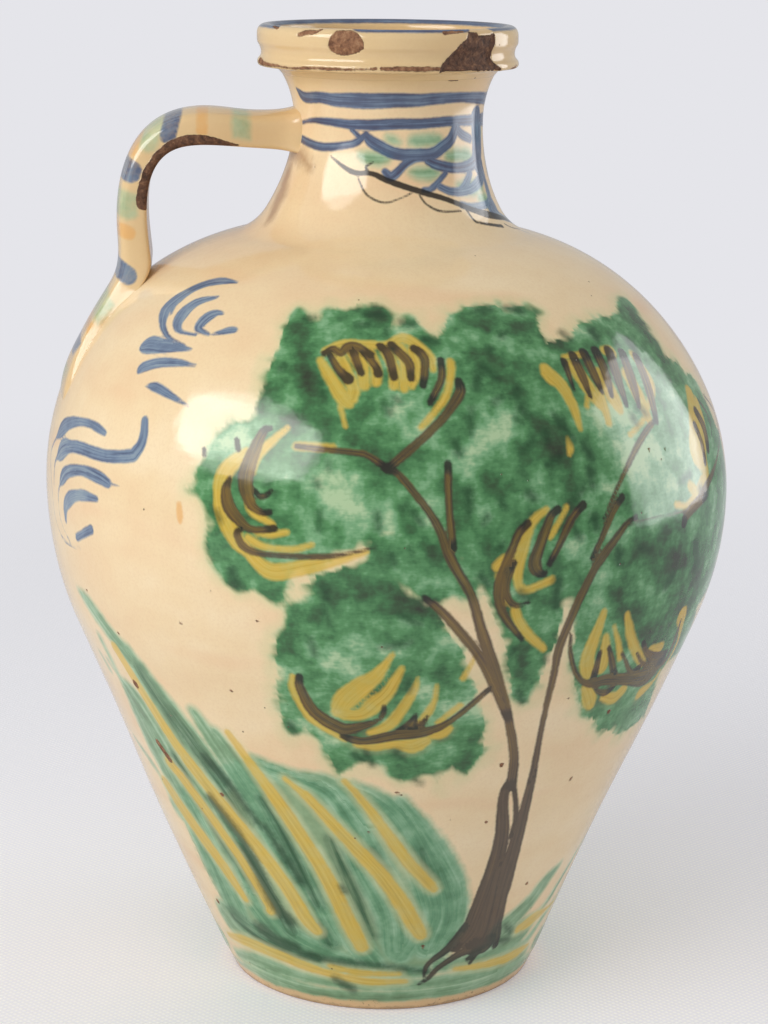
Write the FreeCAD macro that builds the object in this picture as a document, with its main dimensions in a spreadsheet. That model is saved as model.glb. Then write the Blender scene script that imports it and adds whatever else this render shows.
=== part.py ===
import FreeCAD, Part
import math
import os

import Sketcher

# A thrown and glazed one-handled water jar, in millimetres, +Z up.
# The origin is the middle of the foot's flat underside, on the jar's axis.
# The handle points to -X and is turned a little towards -Y, the painted front.

DIMENSIONS = {
    # foot
    "foot_radius": (65.3, "underside of the foot"),
    "foot_top_radius": (69.2, "top of the foot slab, where the wall starts"),
    "foot_height": (9.0, "thickness of the foot slab"),
    "foot_edge": (1.6, "worn bevel round the foot's lower edge"),
    # body
    "belly_radius": (142.0, "widest outside radius"),
    "belly_height": (212.0, "height of the widest place, where the two halves meet"),
    "belly_curve": (140.0, "radius of the curve that turns the lower wall in"),
    "wall": (6.5, "thickness of the thrown wall"),
    # from the belly in to the neck
    "shoulder_curve_share": (1.0338, "shoulder's radius, as a share of the way in to the neck"),
    "neck_root_curve_share": (0.2126, "tight hollow curve at the neck's root, as the same share"),
    "shoulder_turn": (75.52, "degrees that the shoulder turns in before the neck's root"),
    # neck
    "neck_radius": (38.5, "outside radius at the waist of the neck"),
    "neck_rise": (25.1, "from the middle of the root's curve up to that waist"),
    "neck_flare_curve": (38.0, "hollow curve above the waist"),
    "flare_rise": (18.0, "from the waist up to the seat of the mouth band"),
    # mouth band
    "collar_overhang": (14.3, "how far the band stands out past the neck's waist"),
    "collar_waist_depth": (1.4, "depth of the band's shallow waist"),
    "lip_width": (6.8, "thickness of the lip"),
    "collar_drop": (3.2, "from the seat up to the projecting lower edge"),
    "collar_edge_rise": (2.8, "height of that lower edge"),
    "collar_waist_rise": (3.0, "from there up to the shallow waist"),
    "collar_band_rise": (3.5, "from the waist up to the plain upper band"),
    "collar_top_rise": (4.1, "height of the plain upper band"),
    "mouth_floor_rise": (6.0, "from the seat up to the lower end of the straight mouth wall"),
    "glaze": (0.8, "thickness of the glaze, seen at the chipped places"),
    # the two places where the band has lost its glaze
    "small_chip_turn": (19.6, "degrees from the front towards the handle"),
    "small_chip_drop": (7.2, "from the top of the lip down to the small chip's middle"),
    "small_chip_radius": (6.4, "radius of the small chip"),
    "large_chip_turn": (42.0, "degrees from the front away from the handle"),
    "large_chip_width": (36.0, "width of the large chip along the band"),
    "chip_reach": (4.6, "how far a flake is cut in, before the clay is put back"),
    # handle
    "handle_turn": (4.0, "degrees from -X towards the front"),
    "root_stand_off": (15.5, "from the neck's side to where the strap leaves the root wad"),
    "handle_start_drop": (3.6, "middle of the strap there, below the neck's waist"),
    "handle_crest_rise": (2.4, "from there up to the top of the strap's middle line"),
    "handle_span": (50.6, "from there out to the strap's furthest place"),
    "handle_bend": (27.0, "radius of the bend, at the middle line"),
    "heel_tuck": (1.8, "how far the strap's lower end is drawn back in"),
    "heel_rise": (9.22, "where the strap meets the heel wad, above the shoulder under it"),
    "strap_width": (38.0, "width of the strap at the heel"),
    "strap_depth": (12.0, "thickness of the strap at the heel"),
    "strap_root_width": (40.0, "width of the strap at the root"),
    "strap_root_depth": (14.0, "thickness of the strap at the root"),
    "strap_side": (4.2, "height of the strap's flat side edge"),
    "root_width": (56.0, "width of the root wad at the neck"),
    "root_depth": (21.0, "height of the root wad at the neck"),
    "root_drop": (1.5, "how far the wad's middle sits below the strap's at the neck"),
    "heel_length": (38.0, "from the strap's end down to the end of the thumbed-down heel"),
    "heel_proud": (1.63, "how far the heel still stands off the shoulder at its lower end"),
    "heel_foot_width": (60.0, "width of the heel at its lower end"),
    "heel_foot_depth": (20.0, "depth of the heel at its lower end, before it meets the wall"),
}

# What follows from them: centres of the outline's curves, the heights and radii that one piece
# takes from the piece it sits on, and in degrees the places where one curve runs into the next.
# Each curve is tangent to its neighbours.
DERIVED = {
    "belly_middle": ("belly_radius - belly_curve", "centre of the belly curve"),
    "flank_reach": ("sqrt((foot_top_radius - belly_middle) ^ 2 + (belly_height - foot_height) ^ 2)",
                    "from that centre to the top of the foot"),
    "flank_end": ("(acos(belly_curve / flank_reach)"
                  " - atan((belly_height - foot_height) / (foot_top_radius - belly_middle))) / 1 deg",
                  "where the straight flank meets the belly curve"),
    "way_in": ("belly_radius - neck_radius", "from the belly in to the neck"),
    "shoulder_curve": ("shoulder_curve_share * way_in", "radius of the shoulder"),
    "shoulder_middle": ("belly_radius - shoulder_curve", "centre of the shoulder curve"),
    "neck_root_curve": ("neck_root_curve_share * way_in", "radius of the neck's root"),
    "root_reach": ("shoulder_curve + neck_root_curve", "between the centres of those two curves"),
    "root_across": ("shoulder_middle + root_reach * cos(shoulder_turn)", "centre of the neck root curve"),
    "root_up": ("belly_height + root_reach * sin(shoulder_turn)", "centre of the neck root curve"),
    "neck_inset": ("root_across - neck_root_curve - neck_radius", "from the root in to the waist"),
    "neck_turn": ("2 * atan(neck_inset / neck_rise) / 1 deg", "how far the neck's long curve turns"),
    "neck_curve": ("neck_root_curve + neck_rise / sin(neck_turn)", "radius of that curve"),
    "neck_middle": ("neck_radius + neck_curve", "centre of that curve"),
    "neck_height": ("root_up + neck_rise", "height of the neck's waist"),
    "root_end": ("180 + neck_turn", "where the neck root runs into the neck"),
    "flare_middle": ("neck_radius + neck_flare_curve", "centre of the flare"),
    "seat_height": ("neck_height + flare_rise", "top of the neck, where the mouth band sits"),
    "collar_radius": ("neck_radius + collar_overhang", "outside radius of the band"),
    "collar_waist_radius": ("collar_radius - collar_waist_depth", "radius of its shallow waist"),
    "mouth_radius": ("collar_radius - lip_width", "inside radius of the mouth"),
    "mouth_floor_height": ("seat_height + mouth_floor_rise", "lower end of the straight mouth wall"),
    "collar_foot_height": ("seat_height + collar_drop", "underside of the projecting lower edge"),
    "collar_edge_height": ("collar_foot_height + collar_edge_rise", "top of the projecting lower edge"),
    "collar_waist_height": ("collar_edge_height + collar_waist_rise", "height of the shallow waist"),
    "collar_band_height": ("collar_waist_height + collar_band_rise", "where the plain upper band starts"),
    "lip_start": ("collar_band_height + collar_top_rise", "where the lip's rounding starts"),
    "lip_radius": ("lip_width / 2", "radius of the round lip"),
    "lip_middle": ("mouth_radius + lip_radius", "centre of the round lip"),
    "jar_height": ("lip_start + lip_radius", "top of the lip"),
    "small_chip_height": ("jar_height - small_chip_drop", "middle of the small chip"),
    "handle_start": ("neck_radius + root_stand_off", "where the strap leaves the root wad"),
    "handle_start_height": ("neck_height - handle_start_drop", "middle of the strap there"),
    "handle_crest": ("handle_start_height + handle_crest_rise", "top of the strap's middle line"),
    "handle_reach": ("handle_start + handle_span", "furthest place of the strap's middle line"),
    "heel_place": ("handle_reach - heel_tuck", "middle of the strap where it meets the heel wad"),
    "heel_height": ("belly_height + heel_rise"
                    " + sqrt(shoulder_curve ^ 2 - (heel_place - shoulder_middle) ^ 2)",
                    "height of that place"),
    "heel_foot_height": ("heel_height - heel_length", "lower end of the thumbed-down heel"),
    "heel_foot_place": ("shoulder_middle + heel_proud"
                        " + sqrt(shoulder_curve ^ 2 - (heel_foot_height - belly_height) ^ 2)",
                        "outermost place of the heel at its lower end"),
}

# The large chip's outline: across and up, as shares of its width and of the band's height.
LARGE_CHIP_SHARES = [
    (-0.50, -0.22), (-0.20, -0.22), (0.30, 0.08), (0.50, 0.14), (0.34, 0.46),
    (0.40, 0.95), (0.20, 1.12), (0.05, 1.10), (-0.12, 0.62), (-0.42, 0.22),
]

# A thrown curve is drawn as a run of short straight stretches, this many to each. The outside
# is seen and gets more of them than the inside.
BELLY_STEPS = 3
SHOULDER_STEPS = 8
ROOT_STEPS = 3
NECK_STEPS = 3
FLARE_STEPS = 2
LIP_STEPS = 5
CROWN_STEPS = 3
INNER_BELLY_STEPS = 1
INNER_SHOULDER_STEPS = 3
INNER_NECK_STEPS = 2
INNER_FLARE_STEPS = 1

doc = FreeCAD.newDocument("water_jar")
sheet = doc.addObject("Spreadsheet::Sheet", "dims")
cells = [(name, str(value), note) for name, (value, note) in DIMENSIONS.items()]
cells += [(name, f"={formula}", note) for name, (formula, note) in DERIVED.items()]
for row, (name, content, note) in enumerate(cells, start=1):
    sheet.set(f"A{row}", name)
    sheet.setAlias(f"B{row}", name)
    sheet.set(f"B{row}", content)
    sheet.set(f"C{row}", note)
doc.recompute()

# the places on a line or arc that a sketch's constraints name; the sketch's own origin is -START
START, END, CENTRE = range(1, 4)
ORIGIN = -START


def size(name):
    return float(sheet.get(name))


def vec(across, up):
    return FreeCAD.Vector(across, up, 0)


def new_body(label):
    body = doc.addObject("PartDesign::Body", label)
    body.Label = label
    return body


def new_sketch(body, role, name):
    plane = next(item for item in body.Origin.OriginFeatures if item.Role == role)
    sketch = body.newObject("Sketcher::SketchObject", name)
    sketch.AttachmentSupport = [(plane, "")]
    sketch.MapMode = "FlatFace"
    sketch.Visibility = False
    return sketch


def drive(sketch, kind, where, expression):
    """Add a size to a sketch and bind it to named cells."""
    value = float(sketch.evalExpression(expression))
    index = sketch.addConstraint(Sketcher.Constraint(kind, *where, value))
    sketch.setExpression(f"Constraints[{index}]", expression)


def draw_outline(sketch, points):
    """A closed outline of straight lines through points given as pairs of expressions."""
    places = [vec(float(sketch.evalExpression(x)), float(sketch.evalExpression(z))) for x, z in points]
    for i in range(len(points)):
        sketch.addGeometry(Part.LineSegment(places[i - 1], places[i]), False)
    for i, (across, up) in enumerate(points):
        following = (i + 1) % len(points)
        sketch.addConstraint(Sketcher.Constraint("Coincident", i, END, following, START))
        drive(sketch, "DistanceX", (ORIGIN, START, i, END), across)
        drive(sketch, "DistanceY", (ORIGIN, START, i, END), up)


def curve(middle, radius, first, last, steps):
    """Points along an arc, both ends included, as pairs of expressions; angles in degrees."""
    across, up = middle
    angles = [f"(({first}) + (({last}) - ({first})) * {k} / {steps})" for k in range(steps + 1)]
    return [(f"{across} + ({radius}) * cos({angle})", f"{up} + ({radius}) * sin({angle})")
            for angle in angles]


def turned(body, name, points, kind="PartDesign::Revolution"):
    """Turn an outline once round the jar's axis."""
    sketch = new_sketch(body, "XZ_Plane", f"{name}_outline")
    draw_outline(sketch, points)
    feature = body.newObject(kind, name)
    feature.Profile = sketch
    feature.ReferenceAxis = (sketch, ["V_Axis"])
    feature.Angle = 360
    return feature


# The runs of the jar's outline, each from below upwards; skin is how far inside the wall it lies.

def belly(skin, steps):
    return curve(("dims.belly_middle", "dims.belly_height"), f"dims.belly_curve - {skin}",
                 "dims.flank_end", "0", steps)


def shoulder(skin, steps):
    return curve(("dims.shoulder_middle", "dims.belly_height"), f"dims.shoulder_curve - {skin}",
                 "0", "dims.shoulder_turn", steps)


def neck_root(skin, steps):
    return curve(("dims.root_across", "dims.root_up"), f"dims.neck_root_curve + {skin}",
                 "180 + dims.shoulder_turn", "dims.root_end", steps)


def neck_wall(skin, steps):
    return curve(("dims.neck_middle", "dims.neck_height"), f"dims.neck_curve + {skin}",
                 "dims.root_end", "180", steps)


def flare(skin, steps):
    radius = f"(dims.neck_flare_curve + {skin})"
    end = f"180 - asin(dims.flare_rise / {radius}) / 1 deg"
    return curve(("dims.flare_middle", "dims.neck_height"), radius, "180", end, steps)


def joined(*runs):
    """Several runs in one, each starting where the last one ends."""
    points = list(runs[0])
    for run in runs[1:]:
        points += run[1:]
    return points


OUTSIDE_OF_NECK = joined(
    neck_root("0", ROOT_STEPS), neck_wall("0", NECK_STEPS), flare("0", FLARE_STEPS))
INSIDE_OF_NECK = joined(
    neck_root("dims.wall", INNER_NECK_STEPS), neck_wall("dims.wall", INNER_NECK_STEPS),
    flare("dims.wall", INNER_FLARE_STEPS))


def make_foot_disc():
    body = new_body("foot_disc")
    turned(body, "foot_slab", [
        ("0", "0"),
        ("dims.foot_radius - dims.foot_edge", "0"),
        ("dims.foot_radius", "dims.foot_edge"),
        ("dims.foot_top_radius", "dims.foot_height"),
        ("0", "dims.foot_height"),
    ])
    return body


def make_lower_wall():
    body = new_body("lower_wall")
    inside = belly("dims.wall", INNER_BELLY_STEPS)
    # the flank is square to the belly curve's radius at its end
    slope = "tan(-dims.flank_end)"
    inner_foot = (f"{inside[0][0]} - ({inside[0][1]} - dims.foot_height) * {slope}", "dims.foot_height")
    turned(body, "lower_wall_thrown", [
        ("dims.foot_top_radius", "dims.foot_height"),
        *belly("0", BELLY_STEPS),
        *reversed(inside),
        inner_foot,
    ])
    return body


def make_upper_wall():
    body = new_body("upper_wall")
    turned(body, "upper_wall_thrown", [
        *shoulder("0", SHOULDER_STEPS),
        *reversed(shoulder("dims.wall", INNER_SHOULDER_STEPS)),
    ])
    return body


def make_neck():
    body = new_body("neck")
    turned(body, "neck_thrown", [*OUTSIDE_OF_NECK, *reversed(INSIDE_OF_NECK)])
    return body


def band_side(skin):
    """The mouth band's outside, from the projecting lower edge up over the lip, less a skin."""
    edge = f"dims.collar_radius - {skin}"
    return [
        (edge, f"dims.collar_foot_height + {skin}"),
        (edge, "dims.collar_edge_height"),
        (f"dims.collar_waist_radius - {skin}", "dims.collar_waist_height"),
        (edge, "dims.collar_band_height"),
        *curve(("dims.lip_middle", "dims.lip_start"), f"dims.lip_radius - {skin}", "0", "180", LIP_STEPS),
    ]


def make_collar():
    body = new_body("collar")
    turned(body, "band_glazed", [
        INSIDE_OF_NECK[-1],
        OUTSIDE_OF_NECK[-1],
        *band_side("0"),
        ("dims.mouth_radius", "dims.mouth_floor_height"),
    ])
    flake_off(body, "large_chip", "dims.large_chip_turn", draw_large_chip)
    flake_off(body, "small_chip", "-dims.small_chip_turn", draw_small_chip)
    # the clay that the lost glaze lay on, inside the band but for the chipped places
    turned(body, "clay_under_glaze", [
        *band_side("dims.glaze"),
        ("dims.mouth_radius + dims.glaze", "dims.mouth_floor_height"),
    ])
    return body


def draw_small_chip(sketch):
    circle = Part.Circle(vec(0, size("small_chip_height")), FreeCAD.Vector(0, 0, 1), size("small_chip_radius"))
    sketch.addGeometry(circle, False)
    drive(sketch, "DistanceX", (ORIGIN, START, 0, CENTRE), "0")
    drive(sketch, "DistanceY", (ORIGIN, START, 0, CENTRE), "dims.small_chip_height")
    drive(sketch, "Radius", (0,), "dims.small_chip_radius")


def draw_large_chip(sketch):
    band = "(dims.jar_height - dims.collar_foot_height)"
    draw_outline(sketch, [
        (f"dims.large_chip_width * {across}", f"dims.collar_foot_height + {band} * {up}")
        for across, up in LARGE_CHIP_SHARES
    ])


def flake_off(body, name, turn, draw):
    """Cut a chip's outline into the band, from a plane that faces it from outside."""
    sketch = new_sketch(body, "XZ_Plane", f"{name}_outline")
    sketch.AttachmentOffset = FreeCAD.Placement(FreeCAD.Vector(0, 0, 1), FreeCAD.Rotation(
        FreeCAD.Vector(0, 1, 0), 1))
    sketch.setExpression("AttachmentOffset.Rotation.Angle", turn)
    sketch.setExpression("AttachmentOffset.Base.x", f"(dims.collar_radius + dims.glaze) * sin({turn})")
    sketch.setExpression("AttachmentOffset.Base.z", f"(dims.collar_radius + dims.glaze) * cos({turn})")
    draw(sketch)
    doc.recompute()
    pocket = body.newObject("PartDesign::Pocket", name)
    pocket.Profile = sketch
    pocket.Type = 0
    pocket.setExpression("Length", "dims.chip_reach + dims.glaze")


def strap_section(body, role, name, height, foot, width, depth, turn=0):
    """Section of the strap: flat inside, upright sides, crowned outside.

    foot is how far the middle of the flat inside lies from the sketch's origin; the outside lies
    towards +y of the sketch, which stands at this height along its plane's own direction.
    """
    sketch = new_sketch(body, role, name)
    sketch.AttachmentOffset = FreeCAD.Placement(FreeCAD.Vector(0, 0, 1), FreeCAD.Rotation(
        FreeCAD.Vector(0, 0, 1), turn))
    sketch.setExpression("AttachmentOffset.Base.z", height)
    rise = f"({depth} - dims.strap_side)"
    radius = f"(({width} ^ 2 / 4 + {rise} ^ 2) / 2 / {rise})"
    spread = f"asin({width} / 2 / {radius}) / 1 deg"
    crown = curve(("0", f"{foot} + {depth} - {radius}"), radius, f"90 - {spread}", f"90 + {spread}",
                  CROWN_STEPS)
    draw_outline(sketch, [(f"-{width} / 2", foot), (f"{width} / 2", foot), *crown])
    return sketch


def clear_of_jar(body):
    """Shape the inner end of a handle piece to the jar's own outside."""
    turned(body, "seat_on_jar", [
        *joined(shoulder("0", SHOULDER_STEPS), OUTSIDE_OF_NECK),
        ("0", "dims.seat_height"),
        ("0", "dims.belly_height"),
    ], "PartDesign::Groove")


def turn_to_handle(body):
    body.Placement = FreeCAD.Placement(FreeCAD.Vector(0, 0, 0), FreeCAD.Rotation(
        FreeCAD.Vector(0, 0, 1), 180))
    body.setExpression("Placement.Rotation.Angle", "180 + dims.handle_turn")


ROOT_FOOT = "dims.handle_start_height - dims.strap_root_depth / 2"
HEEL_FOOT = "dims.heel_place - dims.strap_depth / 2"


def strap_root(body, name):
    return strap_section(body, "YZ_Plane", name, "dims.handle_start", ROOT_FOOT,
                         "dims.strap_root_width", "dims.strap_root_depth")


def strap_heel(body, name):
    return strap_section(body, "XY_Plane", name, "dims.heel_height", HEEL_FOOT,
                         "dims.strap_width", "dims.strap_depth", turn=-90)


def make_handle_strap():
    body = new_body("handle_strap")
    path = new_sketch(body, "XZ_Plane", "strap_path")
    start = vec(size("handle_start"), size("handle_start_height"))
    end = vec(size("heel_place"), size("heel_height"))
    bend = size("handle_bend")
    centre = vec(size("handle_reach") - bend, size("handle_crest") - bend)
    from_start = start - centre
    from_end = end - centre
    top_angle = math.atan2(from_start.y, from_start.x) - math.acos(bend / from_start.Length)
    side_angle = math.atan2(from_end.y, from_end.x) + math.acos(bend / from_end.Length)
    circle = Part.Circle(centre, FreeCAD.Vector(0, 0, 1), bend)
    turn = path.addGeometry(Part.ArcOfCircle(circle, side_angle, top_angle), False)
    upper = path.addGeometry(Part.LineSegment(start, path.getPoint(turn, END)), False)
    lower = path.addGeometry(Part.LineSegment(path.getPoint(turn, START), end), False)
    for shape, point, across, up in (
        (turn, CENTRE, "dims.handle_reach - dims.handle_bend", "dims.handle_crest - dims.handle_bend"),
        (upper, START, "dims.handle_start", "dims.handle_start_height"),
        (lower, END, "dims.heel_place", "dims.heel_height"),
    ):
        drive(path, "DistanceX", (ORIGIN, START, shape, point), across)
        drive(path, "DistanceY", (ORIGIN, START, shape, point), up)
    drive(path, "Radius", (turn,), "dims.handle_bend")
    path.addConstraint(Sketcher.Constraint("Tangent", upper, END, turn, END))
    path.addConstraint(Sketcher.Constraint("Tangent", lower, START, turn, START))
    root = strap_root(body, "strap_root_section")
    heel = strap_heel(body, "strap_heel_section")
    doc.recompute()
    pipe = body.newObject("PartDesign::AdditivePipe", "strap_pulled")
    pipe.Profile = root
    pipe.Spine = (path, ["Edge1", "Edge2", "Edge3"])
    pipe.Sections = [heel]
    pipe.Transformation = "Multisection"
    pipe.Mode = "Frenet"
    turn_to_handle(body)
    return body


def press_on(body, name, first, second):
    """Clay pressed between two sections, then seated on the jar."""
    doc.recompute()
    loft = body.newObject("PartDesign::AdditiveLoft", name)
    loft.Profile = first
    loft.Sections = [second]
    doc.recompute()
    clear_of_jar(body)
    turn_to_handle(body)


def make_handle_root_wad():
    body = new_body("handle_root_wad")
    outer = strap_root(body, "wad_strap_section")
    inner = strap_section(body, "YZ_Plane", "wad_neck_section", "dims.neck_radius - dims.wall",
                          "dims.handle_start_height - dims.root_drop - dims.root_depth / 2",
                          "dims.root_width", "dims.root_depth")
    press_on(body, "root_wad_pressed", inner, outer)
    return body


def make_handle_heel_wad():
    body = new_body("handle_heel_wad")
    upper = strap_heel(body, "heel_strap_section")
    lower = strap_section(body, "XY_Plane", "heel_foot_section", "dims.heel_foot_height",
                          "dims.heel_foot_place - dims.heel_foot_depth",
                          "dims.heel_foot_width", "dims.heel_foot_depth", turn=-90)
    press_on(body, "heel_wad_pressed", upper, lower)
    return body


bodies = [
    make_foot_disc(), make_lower_wall(), make_upper_wall(), make_neck(), make_collar(),
    make_handle_root_wad(), make_handle_strap(), make_handle_heel_wad(),
]
doc.recompute()

for item in doc.Objects:
    if "Invalid" in item.State or "Error" in item.State:
        raise RuntimeError(f"{item.Name} did not build: {item.State}")
for body in bodies:
    if body.Shape.isNull() or not body.Shape.isValid() or len(body.Shape.Solids) != 1:
        raise RuntimeError(f"{body.Label} isn't one sound solid")
    middle = body.Shape.Solids[0].CenterOfMass
    print(f"{body.Label}: {body.Shape.Volume / 1000:.1f} cm3, middle at "
          f"{middle.x:.1f}, {middle.y:.1f}, {middle.z:.1f}")

os.makedirs("parts", exist_ok=True)
for body in bodies:
    body.Shape.exportStep(f"parts/{body.Label}.step")
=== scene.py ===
# %% [markdown]
# # A one-handled water jar, thrown, painted and glazed
# The jar is a wheel-thrown earthenware vessel: a foot, a body in two halves, a neck, a mouth band
# and a pulled handle, all under one coat of opaque cream glaze with painting in it. We load the
# measured CAD model first. It fixes where everything sits, so no piece needs fitting by eye.

# %% Load the measured jar
import bpy
import bmesh
import math
import numpy as np
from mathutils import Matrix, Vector


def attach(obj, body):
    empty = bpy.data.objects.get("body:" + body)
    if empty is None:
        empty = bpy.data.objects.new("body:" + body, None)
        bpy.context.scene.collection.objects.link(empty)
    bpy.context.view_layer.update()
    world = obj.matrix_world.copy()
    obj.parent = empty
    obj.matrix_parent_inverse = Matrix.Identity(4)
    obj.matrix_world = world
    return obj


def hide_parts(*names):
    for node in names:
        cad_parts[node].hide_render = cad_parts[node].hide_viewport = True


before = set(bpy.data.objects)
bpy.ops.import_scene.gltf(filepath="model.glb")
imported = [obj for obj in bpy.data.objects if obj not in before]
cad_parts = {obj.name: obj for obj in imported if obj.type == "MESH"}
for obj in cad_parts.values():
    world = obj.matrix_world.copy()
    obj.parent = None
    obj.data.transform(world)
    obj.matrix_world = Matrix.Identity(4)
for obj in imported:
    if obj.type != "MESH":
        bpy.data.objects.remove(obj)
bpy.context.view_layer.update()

MM = 0.001

# %% [markdown]
# ## The camera
# We start with the camera, because every later look is judged through it. The photograph was taken
# from about a metre in front, a little above the mouth, looking down by 13.4 degrees, with the
# camera tipped sideways by just over half a degree. A long lens keeps the jar's sides from
# spreading. Matching this first means that a wrong curve shows as a wrong curve.

# %% Set up the camera
PHOTO_HEIGHT = 1024
FOCAL_PIXELS = 2530
SENSOR = 36
CAMERA_PLACE = (-0.0005, -1.040, 0.445)
LOOKS_DOWN, TIPPED = 13.4, 0.6

bpy.ops.object.camera_add(location=CAMERA_PLACE)
camera = bpy.context.object
camera.name = "jar_camera"
camera.rotation_mode = "XYZ"
camera.rotation_euler = (math.radians(90 - LOOKS_DOWN), 0, 0)
camera.rotation_euler.rotate_axis("Z", math.radians(TIPPED))
camera.data.sensor_width = SENSOR
camera.data.lens = SENSOR * FOCAL_PIXELS / PHOTO_HEIGHT
bpy.context.scene.camera = camera
print("lens, millimetres:", round(camera.data.lens, 1))

# %% [markdown]
# ## How a thrown wall is made
# A thrown wall is one outline turned round once. By hand we would put down a single point, extrude
# it along the straight stretches, and spin it round the centre of each curve, exactly as one draws
# with compasses. Those are the next three helpers. Distances are in millimetres, as on a maker's
# drawing, and turned into metres where they reach Blender.

# %% Draw an outline
def start_outline(name, across, up):
    """A new object with one point, in the plane that faces the front, left in edit mode."""
    bpy.ops.object.select_all(action="DESELECT")
    bpy.ops.mesh.primitive_plane_add(size=0.01, location=(0, 0, 0))
    piece = bpy.context.object
    piece.name = piece.data.name = name
    bpy.ops.object.mode_set(mode="EDIT")
    bpy.ops.mesh.select_all(action="SELECT")
    bpy.ops.mesh.merge(type="CENTER")
    bpy.ops.transform.translate(value=(across * MM, 0, up * MM))
    return piece


def selected_point(piece):
    """Where the selected point is, in millimetres."""
    mesh = bmesh.from_edit_mesh(piece.data)
    point = next(v.co for v in mesh.verts if v.select)
    return point.x / MM, point.z / MM


def line_to(piece, across, up, spacing=1000):
    """Extrude the selected point along a straight line, in equal steps no longer than spacing."""
    x, z = selected_point(piece)
    steps = max(1, round(math.hypot(across - x, up - z) / spacing))
    for _ in range(steps):
        bpy.ops.mesh.extrude_region_move(TRANSFORM_OT_translate={
            "value": ((across - x) / steps * MM, 0, (up - z) / steps * MM)})


def curve_round(piece, across, up, degrees, spacing=1000):
    """Spin the selected point round a centre. A positive turn is anticlockwise from the front.

    The first and last steps are tiny, so that the shading at a joint follows the curve itself.
    """
    x, z = selected_point(piece)
    length = math.radians(abs(degrees)) * math.hypot(x - across, z - up)
    tiny = math.copysign(0.05, degrees)
    between = max(1, round(length / spacing))
    for angle, steps in ((tiny, 1), (degrees - 2 * tiny, between), (tiny, 1)):
        bpy.ops.mesh.spin(steps=steps, angle=math.radians(angle), center=(across * MM, 0, up * MM),
                          axis=(0, 1, 0), use_auto_merge=False)


# %% [markdown]
# ## Turning the outline round
# A Screw modifier sweeps a whole outline about the axis, as the wheel does. Spinning it in edit
# mode would give the same wall, only slower with so many steps. We sweep the painted front in many
# small steps and the back in fewer, because the paint is held by the mesh's own points and the
# front carries the fine strokes. The two sweeps are joined, their doubles merged, and only then are
# the normals made to point outwards.

# %% Turn an outline
FRONT_SWEEP, FRONT_STEPS = 190, 400
BACK_SWEEP, BACK_STEPS = 170, 180
SMOOTH_BELOW = math.radians(50)


def turn_round(piece, share=1):
    """Sweep the outline round the jar's axis, the front and the back. share thins the steps."""
    bpy.ops.object.mode_set(mode="OBJECT")
    back = piece.copy()
    back.data = piece.data.copy()
    bpy.context.collection.objects.link(back)
    bpy.ops.object.select_all(action="DESELECT")
    for half, sweep, steps in ((back, BACK_SWEEP, BACK_STEPS), (piece, -FRONT_SWEEP, FRONT_STEPS)):
        bpy.context.view_layer.objects.active = half
        half.select_set(True)
        wheel = half.modifiers.new("wheel", "SCREW")
        wheel.angle = math.radians(sweep)
        wheel.steps = wheel.render_steps = round(steps * share)
        bpy.ops.object.modifier_apply(modifier=wheel.name)
    bpy.ops.object.join()
    bpy.ops.object.mode_set(mode="EDIT")
    bpy.ops.mesh.select_all(action="SELECT")
    bpy.ops.mesh.remove_doubles(threshold=0.000001)
    bpy.ops.mesh.normals_make_consistent(inside=False)
    bpy.ops.object.mode_set(mode="OBJECT")
    bpy.ops.object.shade_smooth_by_angle(angle=SMOOTH_BELOW)
    print(piece.name, "-", len(piece.data.vertices), "points")


def on_curve(across, up, radius, degrees):
    """The place on a circle, as the outline's next start."""
    angle = math.radians(degrees)
    return across + radius * math.cos(angle), up + radius * math.sin(angle)


# %% [markdown]
# ## The foot
# The jar stands on a thick round slab that was left where the wheel cut it off. It flares a little
# towards the wall, and its lower edge is worn round. The underside was never glazed.

# %% Make the foot
FOOT_TOP, FOOT_HEIGHT = 69.2, 9
FOOT_EDGE, EDGE_ROUND = 63.9, 1.4
FOOT_INSIDE = 62.2

foot = start_outline("foot", 0, 0)
line_to(foot, 60, 0, 6)
line_to(foot, FOOT_EDGE, 0, 0.8)
curve_round(foot, FOOT_EDGE, EDGE_ROUND, 80, 0.4)
line_to(foot, FOOT_TOP, FOOT_HEIGHT, 0.8)
line_to(foot, FOOT_INSIDE, FOOT_HEIGHT, 4)
line_to(foot, 0, FOOT_HEIGHT, 12)
turn_round(foot, 0.5)

# %% [markdown]
# ## The body in two halves
# The lower half rises as a straight flank and turns in at the belly. The upper half is the round
# shoulder. The wall is 6.5 mm thick, so each outline runs up the outside, steps across the wall and
# comes back down the inside in coarser steps, since little of the inside is ever seen.

# %% Make the lower half of the body
BELLY_MIDDLE, BELLY_HEIGHT, BELLY_CURVE, BELLY_TURN = 2, 212, 140, 22.5817
BELLY_RADIUS = BELLY_MIDDLE + BELLY_CURVE
SHOULDER_MIDDLE, SHOULDER_CURVE, SHOULDER_TURN = 35.002, 106.998, 75.52
WALL = 6.5
INSIDE_AT_FOOT = 62.162
FLANK_STEP, SHOULDER_STEP, ACROSS_STEP, INSIDE_STEP = 1.6, 1.25, 3, 18

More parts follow.
